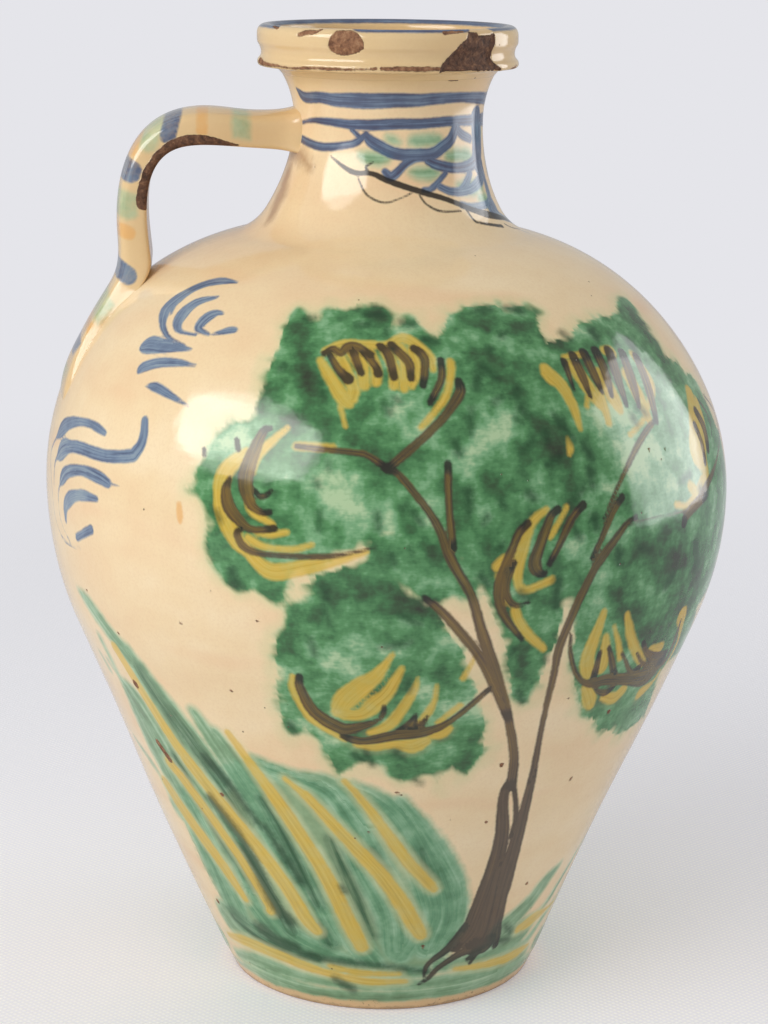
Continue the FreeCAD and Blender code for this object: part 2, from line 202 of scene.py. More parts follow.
lower_body = start_outline("lower_body", FOOT_TOP, FOOT_HEIGHT)
line_to(lower_body, *on_curve(BELLY_MIDDLE, BELLY_HEIGHT, BELLY_CURVE, -BELLY_TURN), FLANK_STEP)
curve_round(lower_body, BELLY_MIDDLE, BELLY_HEIGHT, BELLY_TURN, FLANK_STEP)
line_to(lower_body, BELLY_RADIUS - WALL, BELLY_HEIGHT, ACROSS_STEP)
curve_round(lower_body, BELLY_MIDDLE, BELLY_HEIGHT, -BELLY_TURN, INSIDE_STEP)
line_to(lower_body, INSIDE_AT_FOOT, FOOT_HEIGHT, INSIDE_STEP)
line_to(lower_body, FOOT_TOP, FOOT_HEIGHT, ACROSS_STEP)
turn_round(lower_body)

# %% Make the upper half of the body
upper_body = start_outline("upper_body", BELLY_RADIUS, BELLY_HEIGHT)
curve_round(upper_body, SHOULDER_MIDDLE, BELLY_HEIGHT, SHOULDER_TURN, SHOULDER_STEP)
line_to(upper_body, *on_curve(
    SHOULDER_MIDDLE, BELLY_HEIGHT, SHOULDER_CURVE - WALL, SHOULDER_TURN), ACROSS_STEP)
curve_round(upper_body, SHOULDER_MIDDLE, BELLY_HEIGHT, -SHOULDER_TURN, INSIDE_STEP)
line_to(upper_body, BELLY_RADIUS, BELLY_HEIGHT, ACROSS_STEP)
turn_round(upper_body)

# %% [markdown]
# ## The neck
# The neck is one hollow curve after another: a tight one where it leaves the shoulder, a long one
# up to its waist, and a flare that carries the mouth band. Each curve takes over where the last one
# ends and in the same direction, so the light runs over the joints without a crease.

# %% Make the neck
ROOT_MIDDLE, ROOT_HEIGHT, ROOT_CURVE, ROOT_TURN = 67.2577, 336.9046, 22.004, 45.3997
NECK_MIDDLE, NECK_HEIGHT, NECK_CURVE, NECK_TURN = 110.5233, 362.0046, 72.0233, 30.1197
FLARE_MIDDLE, FLARE_CURVE, SEAT_HEIGHT = 76.5, 38, 380.0046
FLARE_TURN = 28.2737
NECK_STEP, NECK_INSIDE_STEP = 0.8, 4
INNER_FLARE_TURN = math.degrees(math.asin((SEAT_HEIGHT - NECK_HEIGHT) / (FLARE_CURVE + WALL)))

neck_wall = start_outline("neck_wall", *on_curve(
    SHOULDER_MIDDLE, BELLY_HEIGHT, SHOULDER_CURVE, SHOULDER_TURN))
curve_round(neck_wall, ROOT_MIDDLE, ROOT_HEIGHT, -ROOT_TURN, NECK_STEP)
curve_round(neck_wall, NECK_MIDDLE, NECK_HEIGHT, -NECK_TURN, NECK_STEP)
curve_round(neck_wall, FLARE_MIDDLE, NECK_HEIGHT, -FLARE_TURN, NECK_STEP)
line_to(neck_wall, *on_curve(
    FLARE_MIDDLE, NECK_HEIGHT, FLARE_CURVE + WALL, 180 - INNER_FLARE_TURN), ACROSS_STEP)
curve_round(neck_wall, FLARE_MIDDLE, NECK_HEIGHT, INNER_FLARE_TURN, NECK_INSIDE_STEP)
curve_round(neck_wall, NECK_MIDDLE, NECK_HEIGHT, NECK_TURN, NECK_INSIDE_STEP + 1)
curve_round(neck_wall, ROOT_MIDDLE, ROOT_HEIGHT, ROOT_TURN, NECK_INSIDE_STEP)
line_to(neck_wall, *on_curve(
    SHOULDER_MIDDLE, BELLY_HEIGHT, SHOULDER_CURVE, SHOULDER_TURN), ACROSS_STEP)
turn_round(neck_wall)

# %% [markdown]
# ## The mouth band
# The mouth is a thick band with a projecting lower edge, a shallow waist above it and a round lip.
# We draw its corners as straight stretches and then smooth the points of the outline a few times,
# which rounds it as a wet sponge does on the wheel.

# %% Make the mouth band
ROUNDED_ABOVE = 380.4
BAND_CORNERS = ((45.3, 382.6), (48.2, 383.2), (52.3, 383.2), (53.0, 383.9), (53.0, 386.0),
                (51.5, 387.2), (51.3, 389.2), (51.9, 391.4), (52.9, 392.6), (52.9, 396.6))
LIP_CENTRE = (49.45, 396.6046)
BORE_RADIUS, BORE_FOOT = 46, 386
BAND_STEP, LIP_STEP, BORE_STEP, SEAT_STEP = 0.45, 0.6, 0.9, 1.5

mouth_band = start_outline("mouth_band", *on_curve(
    FLARE_MIDDLE, NECK_HEIGHT, FLARE_CURVE, 180 - FLARE_TURN))
for across, up in BAND_CORNERS:
    line_to(mouth_band, across, up, BAND_STEP)
curve_round(mouth_band, *LIP_CENTRE, 180, LIP_STEP)
line_to(mouth_band, BORE_RADIUS, BORE_FOOT, BORE_STEP)
line_to(mouth_band, *on_curve(
    FLARE_MIDDLE, NECK_HEIGHT, FLARE_CURVE + WALL, 180 - INNER_FLARE_TURN), SEAT_STEP)
bpy.ops.mesh.select_all(action="DESELECT")
outline = bmesh.from_edit_mesh(mouth_band.data)
outline.select_mode = {"VERT"}
for point in outline.verts:
    point.select = point.co.z > ROUNDED_ABOVE * MM
outline.select_flush_mode()
bmesh.update_edit_mesh(mouth_band.data)
bpy.ops.mesh.vertices_smooth(factor=0.5, repeat=5)
bpy.ops.mesh.select_all(action="SELECT")
bpy.ops.mesh.remove_doubles(threshold=0.00005)
bpy.ops.mesh.select_all(action="DESELECT")
outline = bmesh.from_edit_mesh(mouth_band.data)
for point in outline.verts:
    point.select = len(point.link_edges) == 1
outline.select_flush_mode()
bmesh.update_edit_mesh(mouth_band.data)
bpy.ops.mesh.edge_face_add()
turn_round(mouth_band)

# %% [markdown]
# ## The handle
# A handle like this is a strap of clay, pulled long under a wet hand, pressed onto the neck, bent
# over and thumbed down on the shoulder. Its section is flat inside and crowned outside. We make the
# section once and carry it along the strap: extrude it to the next station, turn it about the
# station's middle and resize it there. Each station holds the inner and the outer edge of the strap
# as seen from the side, so both outlines of the bend are the real ones, and then the strap's width.

# %% The stations of the handle
HANDLE_STATIONS = [
    # inner edge out and up, outer edge out and up, width
    (30.0, 347.0, 29.5, 368.6, 28.0),
    (38.6, 349.2, 38.0, 367.0, 29.0),
    (44.5, 350.4, 43.5, 365.4, 26.5),
    (57.5, 351.2, 57.0, 365.0, 33.0),
    (68.0, 352.2, 68.0, 366.6, 38.0),
    (76.0, 352.5, 77.0, 367.0, 39.0),
    (83.4, 351.8, 87.0, 365.4, 39.0),
    (89.0, 349.5, 95.8, 361.0, 39.0),
    (92.9, 345.4, 102.2, 354.4, 38.5),
    (95.4, 340.0, 106.4, 346.1, 38.5),
    (96.4, 333.0, 108.7, 335.6, 38.0),
    (96.4, 325.5, 109.1, 325.2, 38.0),
    (95.8, 317.5, 108.7, 316.0, 38.0),
    (94.9, 309.8, 108.0, 307.6, 38.5),
    (94.0, 301.5, 109.4, 299.0, 40.0),
    (99.2, 293.0, 114.1, 291.5, 44.0),
    (109.0, 283.5, 119.9, 282.5, 50.0),
    (118.0, 274.0, 125.2, 273.2, 56.0),
    (124.5, 265.0, 129.4, 265.0, 62.0),
    (129.0, 256.0, 133.6, 256.0, 66.0),
    (132.0, 248.0, 136.6, 248.0, 64.0),
]
HANDLE_TURN = 4


def station_frame(station):
    """Middle, thickness and lean of a station; the lean is counted from upright, outwards."""
    inner = Vector((station[0], 0, station[1])) * MM
    outer = Vector((station[2], 0, station[3])) * MM
    across = outer - inner
    return (inner + outer) / 2, across.length, math.atan2(across.x, across.z), station[4] * MM


# %% [markdown]
# The section starts as a flat square, which we stretch to a slab. We round the corners, more on the
# outside where the wet hand slid along, cut its long sides, and lift the middle of the outer side a
# little for the crown.

# %% Pull the strap
SECTION_WIDE, SECTION_THICK = 40, 14
OUTER_ROUND, INNER_ROUND = 5, 2.4
CROWN_HALF, CROWN_RISE = 12, 1.3


def pull_to(last, following):
    """Extrude the section to the next station, then turn and resize it there."""
    middle, depth, lean, width = station_frame(last)
    new_middle, new_depth, new_lean, new_width = station_frame(following)
    bpy.ops.mesh.extrude_region_move(TRANSFORM_OT_translate={"value": new_middle - middle})
    bpy.ops.transform.rotate(value=lean - new_lean, orient_axis="Y", orient_type="GLOBAL",
                             center_override=new_middle)
    grow = new_depth / depth
    bpy.ops.transform.resize(value=(grow, new_width / width, grow), center_override=new_middle)


def select_points(piece, wanted):
    """In edit mode, select only the points whose place passes the test."""
    bpy.ops.mesh.select_all(action="DESELECT")
    mesh = bmesh.from_edit_mesh(piece.data)
    for point in mesh.verts:
        point.select = wanted(point.co)
    mesh.select_flush(True)
    bmesh.update_edit_mesh(piece.data)


middle, depth, lean, width = station_frame(HANDLE_STATIONS[0])
bpy.ops.object.select_all(action="DESELECT")
bpy.ops.mesh.primitive_plane_add(size=1, location=middle, rotation=(0, math.radians(90), 0))
bpy.ops.object.transform_apply(location=True, rotation=True, scale=True)
handle = bpy.context.object
handle.name = handle.data.name = "handle"
bpy.ops.object.mode_set(mode="EDIT")
bpy.ops.mesh.select_mode(type="VERT")
bpy.ops.mesh.select_all(action="SELECT")
bpy.ops.mesh.delete(type="ONLY_FACE")
bpy.ops.mesh.select_all(action="SELECT")
bpy.ops.transform.resize(value=(1, SECTION_WIDE * MM, SECTION_THICK * MM), center_override=middle)
select_points(handle, lambda place: place.z > middle.z)
bpy.ops.mesh.bevel(offset=OUTER_ROUND * MM, segments=3, affect="VERTICES")
select_points(handle, lambda place: place.z < middle.z - (SECTION_THICK / 2 - 1) * MM)
bpy.ops.mesh.bevel(offset=INNER_ROUND * MM, segments=2, affect="VERTICES")
select_points(handle, lambda place: abs(place.z - middle.z) > (SECTION_THICK / 2 - 0.1) * MM)
bpy.ops.mesh.subdivide(number_cuts=3)
select_points(handle, lambda place: (place.z > middle.z + (SECTION_THICK / 2 - 0.1) * MM
                                     and abs(place.y) < CROWN_HALF * MM))
bpy.ops.transform.translate(value=(0, 0, CROWN_RISE * MM))
bpy.ops.mesh.select_all(action="SELECT")
bpy.ops.transform.translate(value=(0, 0, -CROWN_RISE / 2 * MM))
section = bmesh.from_edit_mesh(handle.data)
high = max(v.co.z for v in section.verts) - min(v.co.z for v in section.verts)
grow = depth / high
bpy.ops.transform.resize(value=(grow, width / (SECTION_WIDE * MM), grow), center_override=middle)
bpy.ops.transform.rotate(value=-lean, orient_axis="Y", orient_type="GLOBAL", center_override=middle)
for last, following in zip(HANDLE_STATIONS, HANDLE_STATIONS[1:]):
    pull_to(last, following)
bpy.ops.object.mode_set(mode="OBJECT")
RING = len(handle.data.vertices) // len(HANDLE_STATIONS)
print("points to a ring:", RING)

# %% [markdown]
# ## Pressing the handle on
# The two ends are wet clay pressed against the jar, so they take its shape. A Shrinkwrap modifier
# does the same: the points at the neck are drawn onto the neck, and the underside of the heel onto
# the shoulder, each just inside the wall so that no gap is left. The thumbed-out end of the heel is
# laid on the shoulder a little proud of it. Subdivision then makes the whole strap smooth.

# %% Press the ends onto the jar
EDGE_SHARE = 0.9
NECK_BITE = 4.5
UNDERSIDE_BITE = 1.2
# a ring of the heel's outside, and how deep it is laid in the wall; less than nothing stands proud
HEEL_OUTSIDE = ((18, -2.2), (19, -1.4), (20, 0.8))
HEEL_RINGS = range(15, 21)


def press_against(piece, target, points, depth):
    """Draw these points onto the target's wall, this deep inside it, in millimetres."""
    group = piece.vertex_groups.new(name="pressed")
    group.add(points, 1, "REPLACE")
    press = piece.modifiers.new("press", "SHRINKWRAP")
    press.target = target
    press.vertex_group = group.name
    press.wrap_mode = "ABOVE_SURFACE"
    press.offset = -depth * MM
    bpy.context.view_layer.objects.active = piece
    bpy.ops.object.modifier_apply(modifier=press.name)
    piece.vertex_groups.clear()


def heel_points(rings, outside):
    """Points of the heel's rings: its underside, or its outside without the thin side edges."""
    chosen = []
    for ring in rings:
        points = handle.data.vertices[ring * RING:(ring + 1) * RING]
        middle = sum(p.co.x for p in points) / RING
        reach = max(p.co.y for p in points)
        for p in points:
            lies_outside = p.co.x > middle and abs(p.co.y) < EDGE_SHARE * reach
            if lies_outside == outside:
                chosen.append(p.index)
    return chosen


press_against(handle, neck_wall, list(range(RING)), NECK_BITE)
press_against(handle, upper_body, heel_points(HEEL_RINGS, False), UNDERSIDE_BITE)
for ring, depth in HEEL_OUTSIDE:
    press_against(handle, upper_body, heel_points((ring,), True), depth)

bpy.ops.object.select_all(action="DESELECT")
handle.select_set(True)
bpy.ops.object.mode_set(mode="EDIT")
for ring in (0, len(HANDLE_STATIONS) - 1):
    bpy.ops.mesh.select_all(action="DESELECT")
    mesh = bmesh.from_edit_mesh(handle.data)
    mesh.verts.ensure_lookup_table()
    for point in mesh.verts[ring * RING:(ring + 1) * RING]:
        point.select = True
    mesh.select_flush(True)
    bpy.ops.mesh.fill_grid(span=5)
bpy.ops.mesh.select_all(action="SELECT")
bpy.ops.mesh.normals_make_consistent(inside=False)
bpy.ops.object.mode_set(mode="OBJECT")
rounding = handle.modifiers.new("rounding", "SUBSURF")
rounding.levels = rounding.render_levels = 3
bpy.ops.object.modifier_apply(modifier=rounding.name)
print("handle points:", len(handle.data.vertices))

# %% [markdown]
# ## Three pieces in one handle
# The wad at the neck, the strap and the thumbed heel are pieces of their own in the model. They
# were smoothed as one, so that their surfaces run on, and are now parted where they meet. A bisect
# with a fill closes each cut. Last, each piece is turned to where the handle sits on the jar. In a
# script without a window transform.rotate turns the other way, hence the minus sign.

# %% Part the handle and turn it into place
ROOT_PLACE, HEEL_PLACE = 54, 304


def part_of_handle(name, *cuts):
    """A copy of the handle, cut by planes; each is a place and the direction that is cut away."""
    bpy.ops.object.select_all(action="DESELECT")
    piece = handle.copy()
    piece.data = handle.data.copy()
    piece.name = piece.data.name = name
    bpy.context.collection.objects.link(piece)
    bpy.context.view_layer.objects.active = piece
    piece.select_set(True)
    bpy.ops.object.mode_set(mode="EDIT")
    for place, away in cuts:
        bpy.ops.mesh.select_all(action="SELECT")
        bpy.ops.mesh.bisect(plane_co=place, plane_no=away, clear_outer=True, use_fill=True)
    bpy.ops.mesh.select_all(action="SELECT")
    bpy.ops.transform.rotate(value=-math.radians(180 + HANDLE_TURN), orient_axis="Z",
                             orient_type="GLOBAL", center_override=(0, 0, 0))
    bpy.ops.object.mode_set(mode="OBJECT")
    bpy.ops.object.shade_smooth_by_angle(angle=SMOOTH_BELOW)
    print(name, "-", len(piece.data.vertices), "points, x from",
          round(min(v.co.x for v in piece.data.vertices) / MM, 1))
    return piece


at_root, at_heel = (ROOT_PLACE * MM, 0, 0), (0, 0, HEEL_PLACE * MM)
handle_root = part_of_handle("handle_root", (at_root, (1, 0, 0)))
handle_strap = part_of_handle("handle_strap_pulled", (at_root, (-1, 0, 0)), (at_heel, (0, 0, -1)))
handle_heel = part_of_handle("handle_heel", (at_heel, (0, 0, 1)))
bpy.data.objects.remove(handle)

# %% [markdown]
# ## Where a brush stroke goes
# The painting was done with a loaded brush on the raw glaze. We keep each stroke as the painter
# would describe it: a run of stations, each with how far round the jar it is (degrees from the
# front, away from the handle), how far up the wall (millimetres along the wall from the foot's
# edge), and how wide the brush was pressed there. This way a stroke stays on the clay whatever the
# camera does. First we need the outside of the jar as one line, to climb along.

# %% Climb the outside wall
def swing(across, up, radius, first, last):
    """Points along an arc of the outline, in millimetres."""
    angles = np.radians(np.linspace(first, last, 80))
    return np.stack([across + radius * np.cos(angles), up + radius * np.sin(angles)], axis=1)


LIP_MIDDLE, LIP_HEIGHT, LIP_RADIUS = 49.4, 396.6046, 3.4
OUTSIDE = np.vstack([
    [(65.3, 1.6)],
    [(FOOT_TOP, FOOT_HEIGHT)],
    swing(BELLY_MIDDLE, BELLY_HEIGHT, BELLY_CURVE, -BELLY_TURN, 0),
    swing(SHOULDER_MIDDLE, BELLY_HEIGHT, SHOULDER_CURVE, 0, SHOULDER_TURN),
    swing(ROOT_MIDDLE, ROOT_HEIGHT, ROOT_CURVE, 180 + SHOULDER_TURN, 180 + NECK_TURN),
    swing(NECK_MIDDLE, NECK_HEIGHT, NECK_CURVE, 180 + NECK_TURN, 180),
    swing(FLARE_MIDDLE, NECK_HEIGHT, FLARE_CURVE, 180, 180 - FLARE_TURN),
    [(52.8, 383.2046), (52.8, 386.0046), (51.4, 389.0046), (52.8, 392.5046)],
    swing(LIP_MIDDLE, LIP_HEIGHT, LIP_RADIUS, 0, 180),
])
CLIMB = np.concatenate([[0], np.cumsum(np.hypot(*np.diff(OUTSIDE, axis=0).T))])
RISING = slice(0, OUTSIDE[:, 1].argmax() + 1)
print("up the wall from foot to lip:", round(CLIMB[-1], 1), "mm")


def on_jar(turn, climb):
    """The places, in millimetres, for arrays of turns and climbs."""
    across = np.interp(climb, CLIMB, OUTSIDE[:, 0])
    up = np.interp(climb, CLIMB, OUTSIDE[:, 1])
    angle = np.radians(turn)
    return np.stack([across * np.sin(angle), -across * np.cos(angle), up], axis=-1)


# %% [markdown]
# ## The brush
# Paint is stored in the mesh. For each layer of paint, every point of the outside remembers three
# numbers: how far it lies outside the nearest stroke (less than nothing when it lies inside), how
# far it is from the nearer end of that stroke, and how far across it. The glaze material later
# turns the first into a soft edge, and the other two into the streaks that a brush leaves. An image
# would do this too, but numbers on the mesh stay sharp at any size and need no picture. The first
# cell makes the blank layers, where FAR stands for no stroke near, and finds which points lie on
# the outside: those within SKIN of the outline.

# %% Prime the outside
TURNED = [foot, lower_body, upper_body, neck_wall, mouth_band]
LAYERS = ["leaves", "thin", "pooled", "wash", "grass", "deep_grass", "yellow", "orange",
          "dark_green", "brown", "blue", "hairline", "worn", "chip", "aged_and_shade", "root_shade"]
FAR = 12.0
SKIN = 3
canvas = {}
for piece in TURNED:
    places = np.empty(len(piece.data.vertices) * 3)
    piece.data.vertices.foreach_get("co", places)
    places = places.reshape(-1, 3) / MM
    spread = np.hypot(places[:, 0], places[:, 1])
    wall_there = np.interp(places[:, 2], OUTSIDE[RISING, 1], OUTSIDE[RISING, 0])
    outer = spread > (0 if piece is mouth_band else wall_there - SKIN)
    coats = {layer: np.tile([FAR, 0.0, 0.0], (len(places), 1)) for layer in LAYERS}
    canvas[piece] = (places, outer, coats)
print("layers of paint:", len(LAYERS))

# %% [markdown]
# A stroke is drawn out smoothly through its stations, in steps fine enough to look unbroken. Then
# every point near it is told its three numbers, unless another stroke of the layer is nearer.

# %% Lay a stroke
STROKE_STEP = 0.6
THINNEST = 0.2
STROKE_REACH = 6.0
NUMBER_STEP = 40


def drawn_out(stations):
    """A smooth run of places through the stations, with the half width at each."""
    stations = np.array(stations, dtype=float)
    if len(stations) < 2:
        return on_jar(stations[:, 0], stations[:, 1]), stations[:, 2] / 2
    knots = np.vstack([2 * stations[0] - stations[1], stations, 2 * stations[-1] - stations[-2]])
    pieces = []
    for a, b, c, d in zip(knots, knots[1:], knots[2:], knots[3:]):
        length = np.linalg.norm(on_jar(b[0], b[1]) - on_jar(c[0], c[1]))
        t = np.linspace(0, 1, int(length / STROKE_STEP) + 2)[:, None]
        pieces.append(0.5 * (2 * b + (c - a) * t + (2 * a - 5 * b + 4 * c - d) * t ** 2
                             + (3 * b - a - 3 * c + d) * t ** 3))
    run = np.vstack(pieces)
    return on_jar(run[:, 0], run[:, 1]), np.maximum(run[:, 2], THINNEST) / 2


def keep_nearest(layer, number, line, half):
    """Lay one run of places on every piece it comes near. Its number sets its streaks apart."""
    gaps = np.diff(line, axis=0)
    along = np.concatenate([[0], np.cumsum(np.linalg.norm(gaps, axis=1))])
    along = np.minimum(along, along[-1] - along)
    heading = np.gradient(line, axis=0) if len(line) > 1 else np.zeros_like(line)
    margin = half.max() + STROKE_REACH
    low, high = line.min(axis=0) - margin, line.max(axis=0) + margin
    for piece, (places, outer, coats) in canvas.items():
        near = np.flatnonzero(outer & np.all((places > low) & (places < high), axis=1))
        if len(near) == 0:
            continue
        away = places[near, None, :] - line[None, :, :]
        edge = np.sqrt((away ** 2).sum(axis=2)) - half[None, :]
        best = edge.argmin(axis=1)
        rows = np.arange(len(near))
        side = np.cross(heading[best], away[rows, best])
        outward = places[near] * (1, 1, 0)
        side = np.sign((side * outward).sum(axis=1))
        across = side * (edge[rows, best] + half[best])
        found = np.stack([edge[rows, best], along[best], across + NUMBER_STEP * number], axis=1)
        coat = coats[layer]
        better = found[:, 0] < coat[near, 0]
        coat[near[better]] = found[better]


def brush(layer, strokes):
    """Lay every stroke of a list into a layer."""
    for number, stroke in enumerate(strokes):
        keep_nearest(layer, number, *drawn_out(stroke))
    print(layer, "-", len(strokes), "strokes")


# %% [markdown]
# ## A patch with a border
# A wash of leaves is not a stroke but a patch with a ragged border, dabbed on. We keep its border
# as a closed line. A point lies inside when a line from it to the right crosses the border an odd
# number of times, and its distance is measured to the border itself.

# %% Fill a patch
BORDER_STEPS = 6
INNER_BAND = 49
ROWS_AT_ONCE = 40


def fill(layer, border):
    """Mark the inside of a closed border in a layer."""
    border = np.array(border + border[:1], dtype=float)
    dense = np.vstack([np.linspace(a, b, BORDER_STEPS)[:-1] for a, b in zip(border, border[1:])])
    line = on_jar(dense[:, 0], dense[:, 1])
    low, high = line.min(axis=0) - FAR, line.max(axis=0) + FAR
    for piece, (places, outer, coats) in canvas.items():
        box = (places > low) & (places < high)
        spread = np.hypot(places[:, 0], places[:, 1])
        front = (places[:, 1] < FAR) & (spread > INNER_BAND * (piece is mouth_band))
        near = np.flatnonzero(outer & box[:, 0] & box[:, 2] & front)
        if len(near) == 0:
            continue
        turn = np.degrees(np.arctan2(places[near, 0], -places[near, 1]))
        climb = np.interp(places[near, 2], OUTSIDE[RISING, 1], CLIMB[RISING])
        inside = np.zeros(len(near), dtype=bool)
        for (t0, c0), (t1, c1) in zip(border, border[1:]):
            if c0 != c1:
                crosses = (c0 > climb) != (c1 > climb)
                inside ^= crosses & (turn < (t1 - t0) * (climb - c0) / (c1 - c0) + t0)
        reach = np.full(len(near), FAR)
        for start in range(0, len(line), ROWS_AT_ONCE):
            away = places[near, None, :] - line[None, start:start + ROWS_AT_ONCE, :]
            reach = np.minimum(reach, np.sqrt((away ** 2).sum(axis=2)).min(axis=1))
        edge = np.where(inside, -reach, reach)
        coat = coats[layer]
        coat[near, 0] = np.minimum(coat[near, 0], edge)
    print(layer, "- patch of", len(border) - 1, "corners")


# %% [markdown]
# ## The tree
# The front carries a tree in the manner of old painted farm pottery: a green wash of leaves, combs
# of yellow and brown for its blossom, a forked brown stem and a dark trunk. The washes come first,
# as they did for the painter.

# %% The leaves
CROWN = [
    (-20.7, 295.5), (-19.4, 320.5), (-18.3, 323.5), (-13.5, 321), (-9.6, 327), (-1.4, 330.5),
    (1, 326.5), (2, 317.5), (6.7, 321), (11.1, 312), (15, 323), (18.2, 326.5), (34.1, 326),
    (35.1, 321), (32.9, 305.5), (45.9, 313.5), (58.1, 315), (65.4, 320), (71.5, 318), (70.8, 311),
    (65.8, 300), (66.7, 291.5), (76.1, 275), (77, 259), (80.4, 246.5), (80.8, 221), (77.2, 210.5),
    (78, 196.5), (77, 190.5), (69.4, 183), (74.5, 167), (73.4, 160.5), (66.5, 160.5), (63.1, 156.5),
    (62.1, 151.5), (67.8, 130.5), (53, 131), (41.3, 147), (37, 157), (33.3, 171), (31.5, 189.5),
    (28.8, 205), (26.5, 169.5), (25.4, 161.5), (24.4, 160.5), (21.9, 166.5), (19.5, 186.5),
    (15.2, 210), (9.8, 228.5), (6.9, 235), (-0.1, 234), (-9.1, 223.5), (-12.6, 218.5), (-17, 207),
    (-20.2, 211), (-25, 213.5), (-27.9, 223), (-27.9, 235), (-30.2, 243.5), (-32.2, 243.5),
    (-32.2, 246.5), (-29.9, 257), (-28.8, 271), (-22.6, 276), (-20.7, 290.5),
]
LOWER_LEFT = [
    (-15.9, 199), (-14.7, 206), (-11.1, 213.5), (-2.1, 223), (0.3, 222.5), (5.1, 213.5),
    (12.2, 189), (17, 162.5), (18.8, 140.5), (16.1, 127), (13, 133.5), (10.5, 124), (7.4, 127),
    (3.9, 126), (1.3, 133), (-2.7, 136), (-8.5, 128), (-10.9, 142), (-14.2, 151.5), (-17.2, 146),
    (-18.1, 152), (-18, 170.5), (-16.9, 193.5),
]
MIDDLE_LEAF = [
    (-13, 215), (-3.5, 227.5), (-1.7, 236.5), (1.6, 241.5), (5.2, 244), (8.5, 242), (11.4, 233),
    (14.9, 209.5), (14, 207), (9.9, 211.5), (5.7, 209), (-0.9, 216.5), (-11.2, 211),
]
for leaves in (CROWN, LOWER_LEFT, MIDDLE_LEAF):
    fill("leaves", leaves)

# %% Thin places and pooled places in the leaves
THIN_PLACES = [
    [(1.6, 282.5, 9.4), (6, 276, 10.1)],
    [(-9.9, 255, 11.2), (-5.3, 246.5, 12.6), (0.7, 241, 8.1)],
    [(13.4, 262, 9.4), (17.1, 269, 13), (20.2, 274.5, 8.7)],
    [(24.5, 253, 6.1), (27.2, 250, 4.6)],
    [(-8.7, 185, 8.9), (-0.8, 185, 10.7)],
    [(39.8, 280, 10.9), (43.6, 262.5, 26.8), (51.9, 248, 19.6), (60.4, 256, 13.9)],
    [(8.2, 246, 5.1), (7, 241, 4.4)],
    [(5.8, 171.5, 7.2), (13, 161, 10.1), (15.6, 170, 7)],
    [(-27.7, 263.5, 8.7), (-23.5, 268, 9.4)],
    [(10.8, 193.5, 5.2), (13.5, 184.5, 5.3)],
    [(-14.8, 155.5, 7.3), (-9.7, 146.5, 6)],
    [(27.2, 230, 5.3), (32.7, 220.5, 5.8), (35.3, 203.5, 7.6)],
    [(2.1, 202.5, 4.1), (8.3, 200, 4.1)],
]
POOLED_PLACES = [
    [(-15.8, 315, 6.4), (-15.1, 301.5, 7.6), (-12, 288.5, 5.2)],
    [(-8.8, 321.5, 5.1), (-0.3, 324, 7.3)],
    [(18.6, 305.5, 9.3), (23.9, 283.5, 8.9)],
    [(16.7, 320, 6.1), (32.1, 315.5, 6.8)],
    [(26.6, 275, 11.5), (28.2, 263.5, 13.2), (29.4, 236.5, 7.7)],
    [(10.8, 251.5, 5.3), (12.5, 244.5, 6)],
    [(1.9, 244, 3.7), (3.9, 237.5, 5.2)],
    [(5.8, 231.5, 4.4), (8, 224, 5.2)],
    [(-8.4, 213.5, 7.1), (5.1, 208, 8.6), (9.2, 201.5, 5.4)],
    [(-26.5, 222.5, 5.3), (-23.2, 216, 5.2)],
    [(15.4, 229.5, 4.6), (17.4, 209, 3.8)],
    [(43, 224, 10.8), (51.2, 212.5, 17.3), (60.8, 194.5, 20.6)],
    [(37.2, 206.5, 8), (45.8, 190, 10.9), (54.8, 175.5, 8.5)],
    [(-13.7, 205.5, 3.8), (-15.2, 193, 3.8)],
    [(34.9, 312, 6.9), (36.4, 304.5, 6.8)],
    [(66.3, 307.5, 14.3), (64.3, 295.5, 15.3), (65.3, 286, 11.1)],
    [(16.3, 254.5, 3.9), (18.4, 246.5, 4.6)],
    [(-5.6, 270.5, 3.8), (-1.8, 265, 3.7)],
    [(-22.5, 242, 4), (-24.1, 232.5, 4.8)],
    [(21.7, 187, 4.9), (23.6, 172.5, 4.2)],
]
brush("thin", THIN_PLACES)
brush("pooled", POOLED_PLACES)

